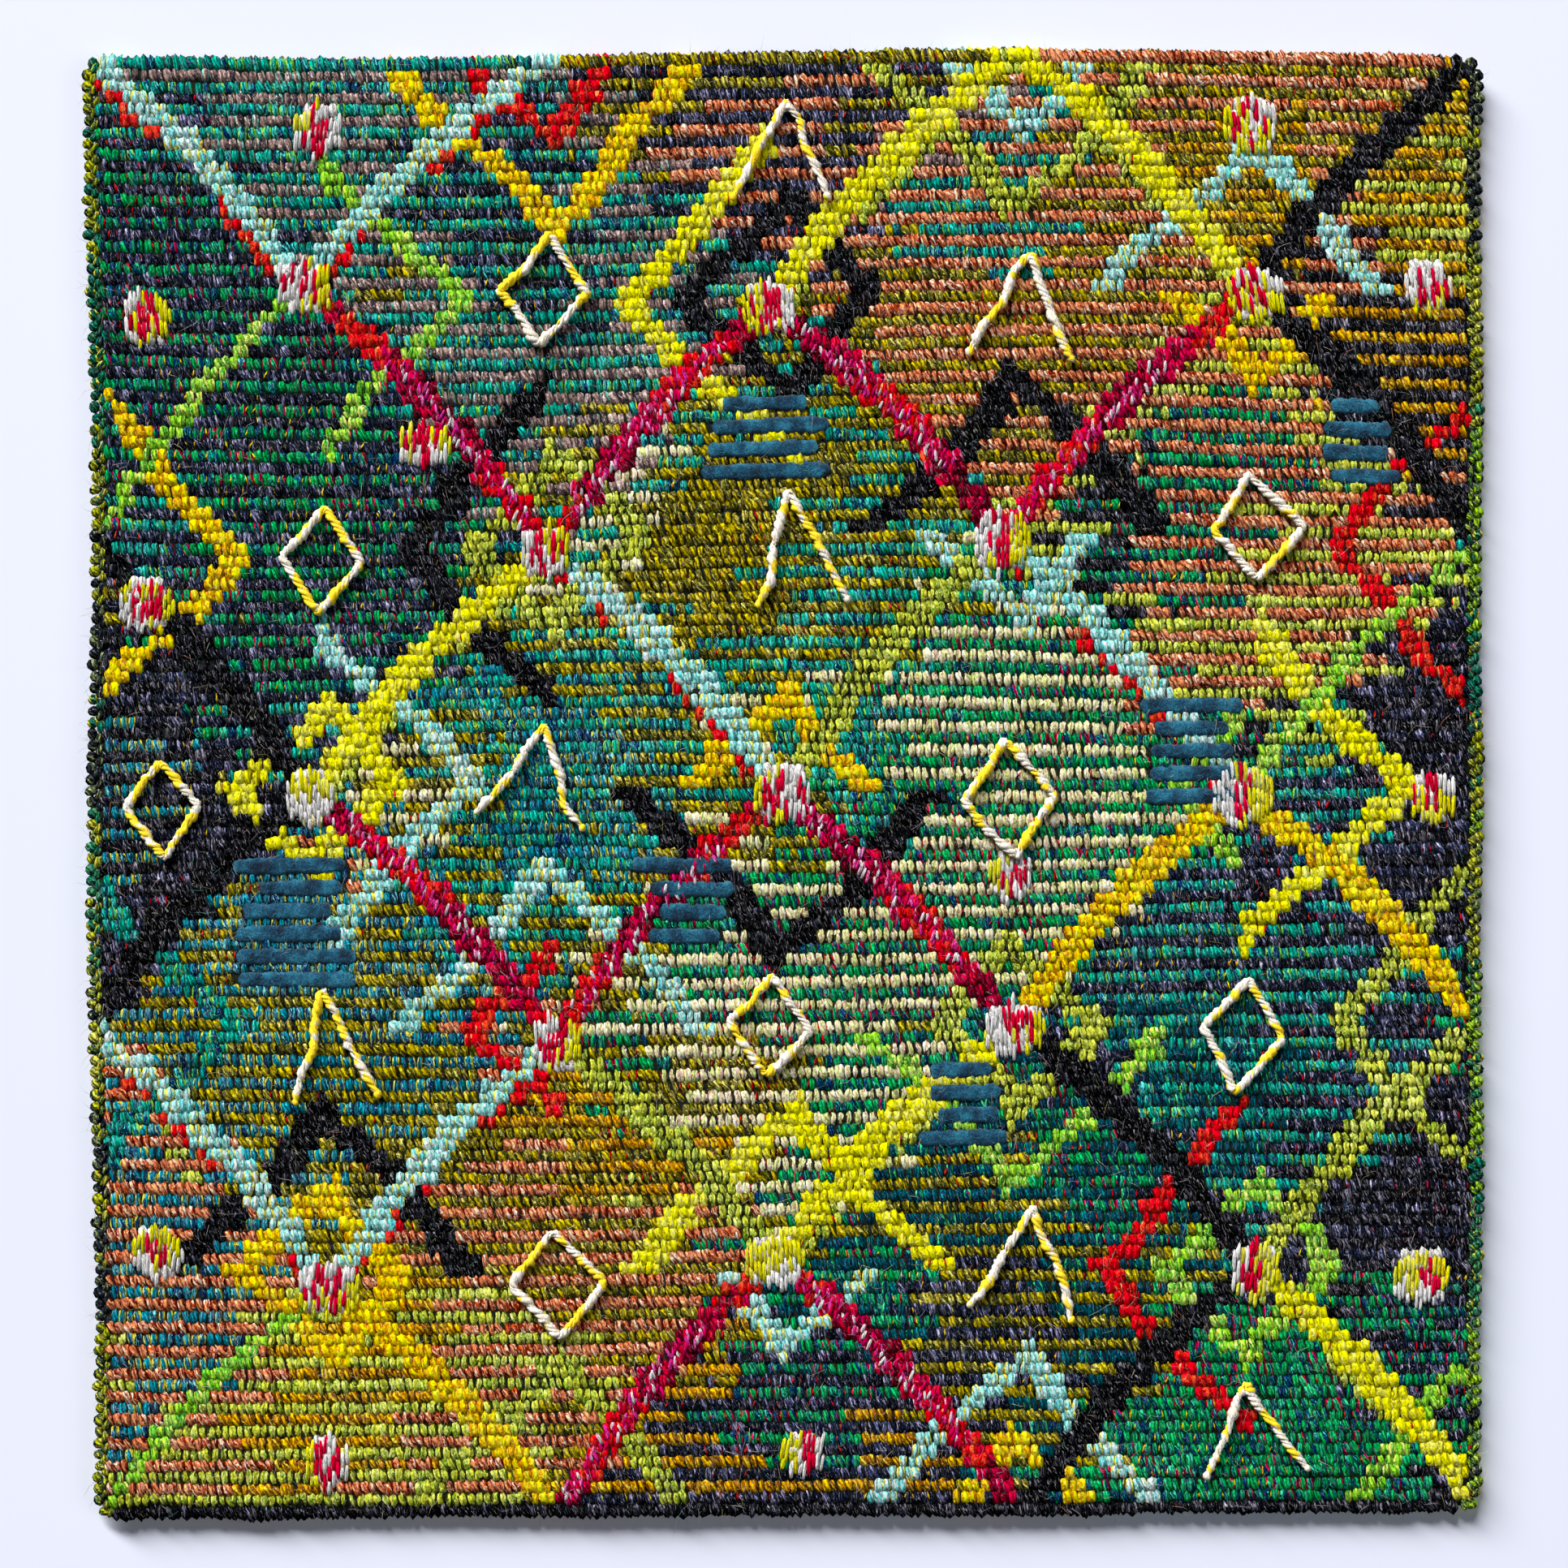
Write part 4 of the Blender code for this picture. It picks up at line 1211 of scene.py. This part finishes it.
for name, hosts in FLECKS.items():
    among = np.isin(yarn, [NAMES.index(host) for host in hosts]) & ~under_bar
    wanted = fleck_cloud > FLECK_CLOUD if name == "scarlet" else fleck_cloud < -FLECK_CLOUD
    here = among & wanted & (chance.random(rib.size) < FLECK_SHARE)
    if name == "scarlet":
        here |= lemon_rim & (chance.random(rib.size) < RIM_FLECK_SHARE)
    count = int(here.sum())
    middles = on_cloth(bead_x[here] + BEAD_PITCH / 2, down[here], FLECK_SEAT)
    sizes = [chance.uniform(*size, count) for size in (FLECK_WIDE, FLECK_LONG, FLECK_RISE)]
    lean = np.radians(chance.normal(0, FLECK_LEAN_SPREAD, count))
    points = laid(FLECK, middles, *sizes, lean)
    flecks = joined_mesh("flecks_" + name, [(points, FLECK.faces, FLECK.spots, 0)])
    flecks.data.materials.append(wool_material("fleck_wool_" + name, flecks["squares"], YARNS[name]))
    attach(flecks, "root")
    print("Flecks of", name + ":", count)

# %% [markdown]
# ## Plush bars
#
# Here and there a very thick brushed wool was laid in. It has no beads: it bulges over the ribs
# above and below it as a soft, lumpy roll. Each is a tube of rings whose radius wanders, and its
# haze comes later with the stray fibres.

# %% Rolls of brushed wool
BAR_STEP = 0.0009
BAR_SIDES = 10
BAR_HALF_HIGH, BAR_HALF_THICK, BAR_SEAT = 0.00225, 0.00105, 0.00085
BAR_END_POWER, BAR_END_LEAST = 26, 0.05  # how suddenly a bar ends, and how much of it is left there
BAR_LUMPS, BAR_WANDER, WANDER_OVER = 0.09, 0.16, 5
BOXY = 0.6


def boxy(turned):
    """A sine or cosine drawn out, so that the section is between round and square."""
    return np.sign(turned) * np.abs(turned) ** BOXY


def roll_points(row, left, right):
    """Rings of points along one plush bar."""
    x0, at0 = chart_to_cloth(left, (row + 0.5) * WARP_PITCH * 1000)
    x1, _ = chart_to_cloth(right, (row + 0.5) * WARP_PITCH * 1000)
    count = max(6, int((x1 - x0) / BAR_STEP))
    places = np.linspace(0, 1, count)
    swell = np.sqrt(np.clip(1 - np.abs(2 * places - 1) ** BAR_END_POWER, BAR_END_LEAST, 1))
    around = np.linspace(0, 2 * np.pi, BAR_SIDES, endpoint=False)
    lumps = varied(BAR_LUMPS, (count, BAR_SIDES))
    rough = chance.normal(0, 1, count + WANDER_OVER - 1)
    wander = np.convolve(rough, np.ones(WANDER_OVER) / WANDER_OVER, "valid")
    high = BAR_HALF_HIGH * swell[:, None] * lumps * (1 + BAR_WANDER * wander[:, None])
    middle = on_cloth(x0 + (x1 - x0) * places, np.full(count, at0), BAR_SEAT)
    points = np.repeat(middle[:, None, :], BAR_SIDES, axis=1)
    points[:, :, 1] -= BAR_HALF_THICK * swell[:, None] * lumps * boxy(np.sin(around))
    points[:, :, 2] += high * boxy(np.cos(around))
    return points


def tube_faces(rings, sides, closed=False):
    """Faces of a tube of rings, with its ends capped unless it is closed on itself."""
    faces = []
    for ring in range(rings if closed else rings - 1):
        following = (ring + 1) % rings
        for side in range(sides):
            beside = (side + 1) % sides
            faces.append((ring * sides + side, following * sides + side,
                          following * sides + beside, ring * sides + beside))
    if not closed:
        faces.append(tuple(reversed(range(sides))))
        faces.append(tuple((rings - 1) * sides + side for side in range(sides)))
    return faces


def tube_spots(rings, sides):
    """Places on the map for a tube: along it and round it, there and back."""
    round_it = 1 - np.abs(2 * (np.arange(sides) / sides) - 1)
    along_it = np.linspace(0, 1, rings)
    return np.stack(np.meshgrid(round_it, along_it), axis=-1).reshape(-1, 2)


def tube_group(rings, slot, closed=False):
    """A tube through these rings of points, as a group for joined_mesh."""
    count, sides = rings.shape[:2]
    return rings.reshape(1, -1, 3), tube_faces(count, sides, closed), tube_spots(count, sides), slot


plush = joined_mesh("plush_bars", [tube_group(roll_points(*bar), 0) for bar in bars])
print("Triangles in the plush bars:", triangles(plush))

# %% [markdown]
# Brushed wool has no strands to draw. Its colour is blotched in two sizes, and the finer blotches
# are its relief as well, so the colour is painted dark in the hollows and pale on the tips of its
# fibres: painted shade and painted highlight on top of the wool's own coarse blotches.

# %% Brushed wool
# The ramp runs from painted shade through the middle tone to painted highlight.
BRUSHED_STOPS = ((0.38, srgb("041C30")), (0.62, srgb("2A7C98")), (0.50, srgb("104A68")))
FINE_SHARE, COARSE_SHARE = 0.55, 0.45

brushed, brushed_tree, brushed_shader = new_material(
    "brushed_wool", Roughness=0.95, Sheen_Weight=0.2, Specular_IOR_Level=0.05)
brushed_place = add_node(brushed_tree, "ShaderNodeTexCoord").outputs["Object"]
tufts = noise(brushed_tree, brushed_place, Scale=1100.0, Detail=4.0, Roughness=0.65, Distortion=1.6)
patches = noise(brushed_tree, brushed_place, Scale=240.0, Detail=1.0)
mottled_and_shaded = maths(brushed_tree, "MULTIPLY_ADD", patches, COARSE_SHARE,
                maths(brushed_tree, "MULTIPLY", tufts, FINE_SHARE))
brushed_tree.links.new(ramp(brushed_tree, mottled_and_shaded, BRUSHED_STOPS), brushed_shader.inputs["Base Color"])
add_relief(brushed_tree, brushed_shader, tufts, distance=0.0007)
plush.data.materials.append(brushed)
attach(plush, "root")
print("Nodes in the brushed wool:", len(brushed_tree.nodes))

# %% [markdown]
# ## Raised outlines
#
# Small diamonds and chevrons of white and yellow wool lie on the face. Each is one thick thread of
# three thin plies, twisted loosely and dyed in patches, and a knot fastens its ends. A single tube
# with painted stripes would be quicker, but the twist also makes the outline swell and narrow, so
# all three plies are real, lumpy tubes that wind round the same line.

# %% Places of the raised outlines, as in the solids
DIAMOND_POINTS = 12
CHEVRON_POINTS = 3
Outline = namedtuple("Outline", "name x down width height lean")
DIAMONDS = [Outline(*row) for row in (
    ("raised_diamond_1", -0.066, 0.064, 0.024, 0.031, 4),
    ("raised_diamond_2", 0.130, 0.131, 0.026, 0.028, -6),
    ("raised_diamond_3", -0.127, 0.138, 0.022, 0.030, 3),
    ("raised_diamond_4", 0.062, 0.205, 0.025, 0.033, -3),
    ("raised_diamond_5", -0.004, 0.268, 0.023, 0.028, 5),
    ("raised_diamond_6", -0.062, 0.339, 0.026, 0.030, -4),
    ("raised_diamond_7", 0.126, 0.272, 0.022, 0.032, 6),
    ("raised_diamond_8", -0.171, 0.207, 0.021, 0.027, -2),
)]
CHEVRONS = [Outline(*row) for row in (
    ("raised_chevron_1", 0.066, 0.070, 0.026, 0.029, 7),
    ("raised_chevron_2", 0.003, 0.137, 0.024, 0.031, -5),
    ("raised_chevron_3", -0.068, 0.199, 0.028, 0.027, 10),
    ("raised_chevron_4", -0.125, 0.273, 0.023, 0.030, -8),
    ("raised_chevron_5", 0.067, 0.333, 0.027, 0.028, 5),
    ("raised_chevron_6", 0.000, 0.026, 0.025, 0.025, 3),
    ("raised_chevron_7", 0.128, 0.379, 0.026, 0.025, -6),
)]
print("Diamonds:", len(DIAMONDS), "chevrons:", len(CHEVRONS))

# %% Lines of the raised outlines
PLIES = 3
PLY_RADIUS, PLY_OFFSET, PLY_FLATTEN = 0.00070, 0.00062, 0.60
PLY_STEP, TURN_LENGTH = 0.0010, 0.0056
PLY_SIDES = 6
PLY_LUMPS, LUMP_EVERY, PLY_ROUGH = 0.42, 2, 0.06
TURN_DRIFT, DRIFT_EVERY = 0.8, 6
OUTLINE_WOBBLE, WOBBLE_BENDS = 0.00075, 9
END_THICK, TAPER_LENGTH = 0.45, 0.006
END_KNOT = 0.0011


def diamond_path(width, height):
    """Offsets across and down from the middle of a diamond, round its four sides."""
    turn = 2 * np.pi * np.arange(DIAMOND_POINTS) / DIAMOND_POINTS
    reach = 1 / (abs(np.cos(turn)) + abs(np.sin(turn)))
    return np.stack([width / 2 * reach * np.cos(turn), height / 2 * reach * np.sin(turn)], axis=-1)


def chevron_path(width, height):
    """Offsets across and down from the middle of a chevron, from foot to tip to foot."""
    number = np.arange(CHEVRON_POINTS)
    return np.stack([width * (number / (CHEVRON_POINTS - 1) - 0.5),
                     np.where(number % 2 == 0, height / 2, -height / 2)], axis=-1)


def even_points(path, closed):
    """The same line with points a step apart, its corners eased and its run a little uneven."""
    if closed:
        path = np.vstack([path, path[:1]])
    stretch = np.hypot(*np.diff(path, axis=0).T)
    reached = np.concatenate([[0], np.cumsum(stretch)])
    count = int(reached[-1] / PLY_STEP)
    at = np.linspace(0, reached[-1], count, endpoint=not closed)
    line = np.stack([np.interp(at, reached, path[:, k]) for k in (0, 1)], axis=-1)
    bends = np.linspace(0, reached[-1], WOBBLE_BENDS)
    wobble = np.stack([np.interp(at, bends, chance.normal(0, 1, WOBBLE_BENDS)) for _ in (0, 1)], axis=-1)
    if closed:
        wobble *= np.sin(np.pi * at / reached[-1])[:, None]
    line += OUTLINE_WOBBLE * wobble
    for _ in range(2):
        before, after = np.roll(line, 1, axis=0), np.roll(line, -1, axis=0)
        eased = (before + 2 * line + after) / 4
        if closed:
            line = eased
        else:
            line[1:-1] = eased[1:-1]
    return line, reached[-1]


# %% Plies wound round a line
def twisted_outline(row, path, closed):
    """Plies wound round the line of one raised outline, and its knots."""
    line, length = even_points(path, closed)
    turn = math.radians(row.lean)
    x = row.x + line[:, 0] * math.cos(turn) - line[:, 1] * math.sin(turn)
    at = (row.down + line[:, 0] * math.sin(turn) + line[:, 1] * math.cos(turn)) / HEIGHT
    middle = on_cloth(x, at, THICKNESS / 2 + GAP + OUTLINE_RADIUS)
    count = len(middle)
    if closed:
        forward = np.roll(middle, -1, axis=0) - np.roll(middle, 1, axis=0)
    else:
        forward = np.gradient(middle, axis=0)
    forward /= np.linalg.norm(forward, axis=1)[:, None]
    outward = np.tile([0.0, -1.0, 0.0], (count, 1))
    sideways = np.cross(forward, outward)
    sideways /= np.linalg.norm(sideways, axis=1)[:, None]
    number = np.arange(count)
    turns = max(2, round(length / TURN_LENGTH))
    phase = 2 * np.pi * turns * number / (count if closed else count - 1) + chance.uniform(0, 6)
    drift = chance.normal(0, TURN_DRIFT, count // DRIFT_EVERY + 2)
    phase += np.interp(number / DRIFT_EVERY, np.arange(len(drift)), drift)
    taper = np.ones(count)
    if not closed:
        from_end = np.minimum(number, count - 1 - number) * PLY_STEP
        taper = np.clip(END_THICK + from_end / TAPER_LENGTH, 0, 1)
    around = np.linspace(0, 2 * np.pi, PLY_SIDES, endpoint=False)[None, :, None]
    section = np.cos(around) * sideways[:, None, :] + np.sin(around) * outward[:, None, :]
    groups = []
    for ply in range(PLIES):
        wound = (phase + 2 * math.pi * ply / PLIES)[:, None]
        centre = middle + taper[:, None] * PLY_OFFSET * (
            np.cos(wound) * sideways + PLY_FLATTEN * np.sin(wound) * outward)
        lumps = np.interp(number / LUMP_EVERY, number, chance.normal(0, 1, count).clip(-2, 2))
        rough = PLY_ROUGH * chance.normal(0, 1, count).clip(-2, 2)
        radius = PLY_RADIUS * taper * (1 + PLY_LUMPS * lumps + rough)
        rings = centre[:, None, :] + section * radius[:, None, None]
        groups.append(tube_group(rings, ply % 2, closed))
    # The thread is fastened with a knot: at both ends, or where a closed one meets itself.
    tied = middle[[0]] if closed else middle[[0, -1]]
    size = END_KNOT * chance.uniform(0.8, 1.1, len(tied))
    knotted = laid(KNOT, tied, size, 1.2 * size, 0.8 * size, chance.uniform(-0.6, 0.6, len(tied)))
    groups.append((knotted, KNOT.faces, KNOT.spots, 1))
    return groups


# %% [markdown]
# The plies need another rule than the beads: a ply is long, so its fibres are drawn in real
# millimetres, by place on the cloth. Their slant shows that each ply is itself twisted. Slow
# blotches turn the white wool yellow.

# %% Ply wool and the outline pieces
PATCH_SCALE, PATCH_SOFT = 175.0, 0.02
PLY_FIBRES, PLY_SLANT = (2600, 2600, 700), 35


def ply_material(name, pale, deep, other, seam):
    """Wool with slanting fibres, pale, with painted shade in the hollows of their relief,
    and blotches of another colour beyond the seam.
    """
    material, tree, shader = new_material(name, Roughness=0.8, Specular_IOR_Level=0.1)
    place = add_node(tree, "ShaderNodeTexCoord").outputs["Object"]
    slanting = add_node(tree, "ShaderNodeMapping", {
        "Vector": place, "Rotation": (0, math.radians(PLY_SLANT), 0), "Scale": PLY_FIBRES}).outputs[0]
    fibre = noise(tree, slanting, Scale=1.0, Detail=2.0)
    # The darker end of the ramp falls in the hollows of the fibre relief: painted shade.
    wool = ramp(tree, fibre, ((0.30, srgb(deep)), (0.56, srgb(pale))))
    blotch = noise(tree, place, Scale=PATCH_SCALE, Detail=1.5)
    mask = stretched(tree, blotch, seam - PATCH_SOFT, seam + PATCH_SOFT)
    tree.links.new(blended(tree, mask, wool, srgb(other)), shader.inputs["Base Color"])
    add_relief(tree, shader, fibre, distance=0.0003)
    return material


ply_white = ply_material("ply_white", "F2EEE4", "C8BCB4", "FBDC34", 0.53)
ply_yellow = ply_material("ply_yellow", "F0E8D4", "C6B8A4", "F8D828", 0.49)
outline_pieces = []
for row in DIAMONDS + CHEVRONS:
    closed = row in DIAMONDS
    path = (diamond_path if closed else chevron_path)(row.width, row.height)
    piece = joined_mesh(row.name.replace("raised", "twisted"), twisted_outline(row, path, closed),
                        ply_white, ply_yellow)
    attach(piece, "root")
    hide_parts(row.name)
    outline_pieces.append(piece)
print("Triangles in the outlines:", sum(triangles(p) for p in outline_pieces))

# %% [markdown]
# ## Stray fibres
#
# Wool is never clean: thin fibres stand off every bead and cross the next. Hair curves would do
# for a picture, but the piece is also handed on as meshes, so each fibre here is a thin
# three-sided spike with one bend in it, cheap enough to make thousands.

# %% Fibres on the face and round the edge
FACE_FIBRES, EDGE_FIBRES, BAR_FIBRES = 5000, 800, 1300
FACE_ROOT, BAR_ROOT, EDGE_ROOT = THICKNESS / 2 - 0.0002, 0.0018, 0.0004
FIRST_RIB, LAST_RIB = 0.003, 0.997
UNRULY = 1.1  # how far the fibres of the edge turn away from straight outwards
FIBRE_RADIUS, FIBRE_NARROWER = 0.000045, 0.8
DROOP, TIP_LIFT = 0.35, 0.6


def fibre_points(roots, ways, lift, length):
    """Spikes with a ring at the root, a ring at the bend and a tip. Lift and length are ranges."""
    count = len(roots)
    nought = np.zeros(count)
    lifts, lengths = chance.uniform(*lift, count), chance.uniform(*length, count)
    reach = ways * lengths[:, None]
    bend = roots + reach * 0.5 + np.stack([nought, -lifts, nought], axis=-1)
    droop = chance.normal(0, DROOP, count) * lengths
    tip = roots + reach + np.stack([nought, -lifts * TIP_LIFT, droop], axis=-1)
    across = np.stack([-ways[:, 2], nought, ways[:, 0]], axis=-1)
    outward = np.tile([0.0, -1.0, 0.0], (count, 1))
    points = []
    for centre, radius in ((roots, FIBRE_RADIUS), (bend, FIBRE_RADIUS * FIBRE_NARROWER)):
        for angle in (90, 210, 330):
            turned = math.cos(math.radians(angle)) * across + math.sin(math.radians(angle)) * outward
            points.append(centre + radius * turned)
    points.append(tip)
    return np.stack(points, axis=1)


FIBRE_FACES = [(2, 1, 0), (0, 1, 4, 3), (1, 2, 5, 4), (2, 0, 3, 5), (3, 4, 6), (4, 5, 6), (5, 3, 6)]
FIBRE_SPOTS = [(0, 0), (0.5, 0), (1, 0), (0, 0.5), (0.5, 0.5), (1, 0.5), (0.5, 1)]


def level_ways(count):
    """Directions in the plane of the cloth."""
    angle = chance.uniform(0, 2 * np.pi, count)
    return np.stack([np.cos(angle), np.zeros(count), np.sin(angle)], axis=-1)


picked = chance.integers(0, rib.size, FACE_FIBRES)
roots = on_cloth(bead_x[picked], down[picked], FACE_ROOT)
face_fibres = fibre_points(roots, level_ways(FACE_FIBRES), (0.0004, 0.0016), (0.0025, 0.0065))

# Round the edge: on the left, on the right, along the top and along the bottom.
at = chance.uniform(0.01, 0.99, EDGE_FIBRES)
which = chance.integers(0, 4, EDGE_FIBRES)
along_x = left_edge(at) + (right_edge(at) - left_edge(at)) * at
x = np.select([which == 0, which == 1], [left_edge(at) + EDGE_ROOT, right_edge(at) - EDGE_ROOT], along_x)
at = np.where(which == 2, FIRST_RIB, np.where(which == 3, LAST_RIB, at))
out_way = np.array([(-1, 0, 0), (1, 0, 0), (0, 0, 1), (0, 0, -1)])[which]
ways = out_way + UNRULY * level_ways(EDGE_FIBRES)
ways /= np.linalg.norm(ways, axis=1)[:, None] + 1e-6
roots = on_cloth(x, at, chance.uniform(-0.001, 0.001, EDGE_FIBRES))
edge_fibres = fibre_points(roots, ways, (-0.0005, 0.001), (0.0015, 0.0050))

bar_rows = [bars[k] for k in chance.integers(0, len(bars), BAR_FIBRES)]
bar_x = np.array([chance.uniform(left, right) for _, left, right in bar_rows])
bar_down = np.array([(row + 0.5) * WARP_PITCH * 1000 for row, _, _ in bar_rows])
x, at = chart_to_cloth(bar_x, bar_down + chance.normal(0, 1.0, BAR_FIBRES))
roots = on_cloth(x, at, BAR_ROOT)
bar_fibres = fibre_points(roots, level_ways(BAR_FIBRES), (0.0003, 0.0009), (0.0012, 0.0028))

fibre_groups = [(points, FIBRE_FACES, FIBRE_SPOTS, slot)
                for points, slot in ((face_fibres, 0), (edge_fibres, 0), (bar_fibres, 1))]
fibres = joined_mesh("stray_fibres", fibre_groups)
print("Triangles in the fibres:", triangles(fibres))


# %% Colours of the fibres
def fibre_material(name, squares, codes):
    """Each fibre takes one of these colours."""
    material, tree, shader = new_material(name, Roughness=0.8)
    spot = add_node(tree, "ShaderNodeGroup", {"Squares": squares}, node_tree=place_group)
    luck = parts_of(tree, spot.outputs["Chance"])[0]
    stops = [(number / len(codes), srgb(code)) for number, code in enumerate(codes)]
    tree.links.new(ramp(tree, luck, stops, "CONSTANT"), shader.inputs["Base Color"])
    return material


FIBRE_COLOURS = {
    "fibre_wool": ("B8B0A8", "8C8A3A", "8A84A0", "3A8A84", "C88A6A", "9A94A8", "D8D0C0"),
    "fibre_brushed": ("1E6A8C", "3A94B0", "123E5C"),
}
for name, codes in FIBRE_COLOURS.items():
    fibres.data.materials.append(fibre_material(name, fibres["squares"], codes))
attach(fibres, "root")
print("Colours of the fibres:", sum(map(len, FIBRE_COLOURS.values())))

# %% [markdown]
#
# The body is a sheet, and the yarns that are wound through it and the knotted edges are separate
# pieces on it. The cloth was never stretched: it came off the loom at the size it hangs in.

# %% [markdown]
# ## Studio
#
# The piece hangs a few millimetres off a pale wall. The wall is one sweep that curves into the
# floor far below. It shows from the front only, so the back of the cloth can be looked at too.

# %% Wall and floor
WALL_Y = 0.0052
SWEEP_HALF, SWEEP_TOP, FLOOR_Z, FLOOR_END, SWEEP_CURVE = 3.0, 1.6, -1.3, -4.0, 0.4


def studio_sweep():
    """A wall that curves into a floor."""
    profile = [(WALL_Y, SWEEP_TOP)]
    for angle in np.linspace(0, math.pi / 2, 9):
        profile.append((WALL_Y - SWEEP_CURVE * (1 - math.cos(angle)),
                        FLOOR_Z + SWEEP_CURVE * (1 - math.sin(angle))))
    profile.append((FLOOR_END, FLOOR_Z))
    points = [(x, y, z) for y, z in profile for x in (-SWEEP_HALF, SWEEP_HALF)]
    faces = [(2 * k, 2 * k + 1, 2 * k + 3, 2 * k + 2) for k in range(len(profile) - 1)]
    mesh = bpy.data.meshes.new("studio_sweep")
    mesh.from_pydata(points, [], faces)
    if mesh.polygons[0].normal.y > 0:
        mesh.flip_normals()
    mesh.shade_smooth()
    sweep = bpy.data.objects.new("studio_sweep", mesh)
    bpy.context.scene.collection.objects.link(sweep)
    return sweep


sweep = studio_sweep()
paint, paint_tree, paint_shader = new_material(
    "pale_wall", Base_Color=(0.675, 0.712, 0.84, 1), Roughness=0.9)
see_through = add_node(paint_tree, "ShaderNodeBsdfTransparent")
from_behind = add_node(paint_tree, "ShaderNodeNewGeometry").outputs["Backfacing"]
either = add_node(paint_tree, "ShaderNodeMixShader", {
    0: from_behind, 1: paint_shader.outputs[0], 2: see_through.outputs[0]})
paint_tree.links.new(either.outputs[0], paint_tree.nodes["Material Output"].inputs["Surface"])
sweep.data.materials.append(paint)
sweep.visible_shadow = False
sweep.visible_diffuse = False
sweep.visible_glossy = False
print("The wall stands", round(WALL_Y * 1000, 1), "mm behind the middle of the cloth")

# %% [markdown]
# Two soft boxes light the face. The strong one is very wide and stands far off, high on the left:
# it shades every rib from its top down, throws the shadow to the right and below, and lights the
# wall evenly. A weak one stands on the right. A third lights the back through the wall, which
# casts no shadow. The world adds a cool, even light.

# %% Lights and camera
MIDDLE = (0.0, 0.0, -0.2012)
CAMERA_LENS = 85.0
SENSOR_WIDE = 36.0
FRAME_WIDE = 0.432  # metres across the picture
CAMERA_AWAY = FRAME_WIDE * CAMERA_LENS / SENSOR_WIDE


def soft_box(name, place, wide, high, watts, colour):
    """A soft box that looks at the middle of the cloth."""
    light = bpy.data.lights.new(name, "AREA")
    light.shape = "RECTANGLE"
    light.size = wide
    light.size_y = high
    light.energy = watts
    light.color = colour
    holder = bpy.data.objects.new(name, light)
    holder.location = place
    holder.rotation_euler = (Vector(MIDDLE) - Vector(place)).to_track_quat("-Z", "Y").to_euler()
    bpy.context.scene.collection.objects.link(holder)


soft_box("key_light", (-4.0, -5.4, 7.2), 8.6, 2.0, 2150, (1.0, 0.98, 0.96))
soft_box("fill_light", (4.2, -4.2, -0.6), 3.0, 3.0, 60, (0.94, 0.96, 1.0))
soft_box("back_light", (1.6, 3.0, 1.2), 2.4, 2.4, 260, (1.0, 0.98, 0.96))
world = bpy.data.worlds.new("studio")
world.use_nodes = True
sky = world.node_tree.nodes["Background"]
sky.inputs["Color"].default_value = (0.86, 0.88, 1.0, 1)
sky.inputs["Strength"].default_value = 0.055
bpy.context.scene.world = world
bpy.context.scene.view_settings.view_transform = "Standard"

camera = bpy.data.cameras.new("camera")
camera.lens = CAMERA_LENS
camera_holder = bpy.data.objects.new("camera", camera)
camera_holder.location = (MIDDLE[0], -CAMERA_AWAY, MIDDLE[2])
camera_holder.rotation_euler = (math.pi / 2, 0, 0)
bpy.context.scene.collection.objects.link(camera_holder)
bpy.context.scene.camera = camera_holder
print("Camera:", round(CAMERA_AWAY, 3), "m in front of the cloth")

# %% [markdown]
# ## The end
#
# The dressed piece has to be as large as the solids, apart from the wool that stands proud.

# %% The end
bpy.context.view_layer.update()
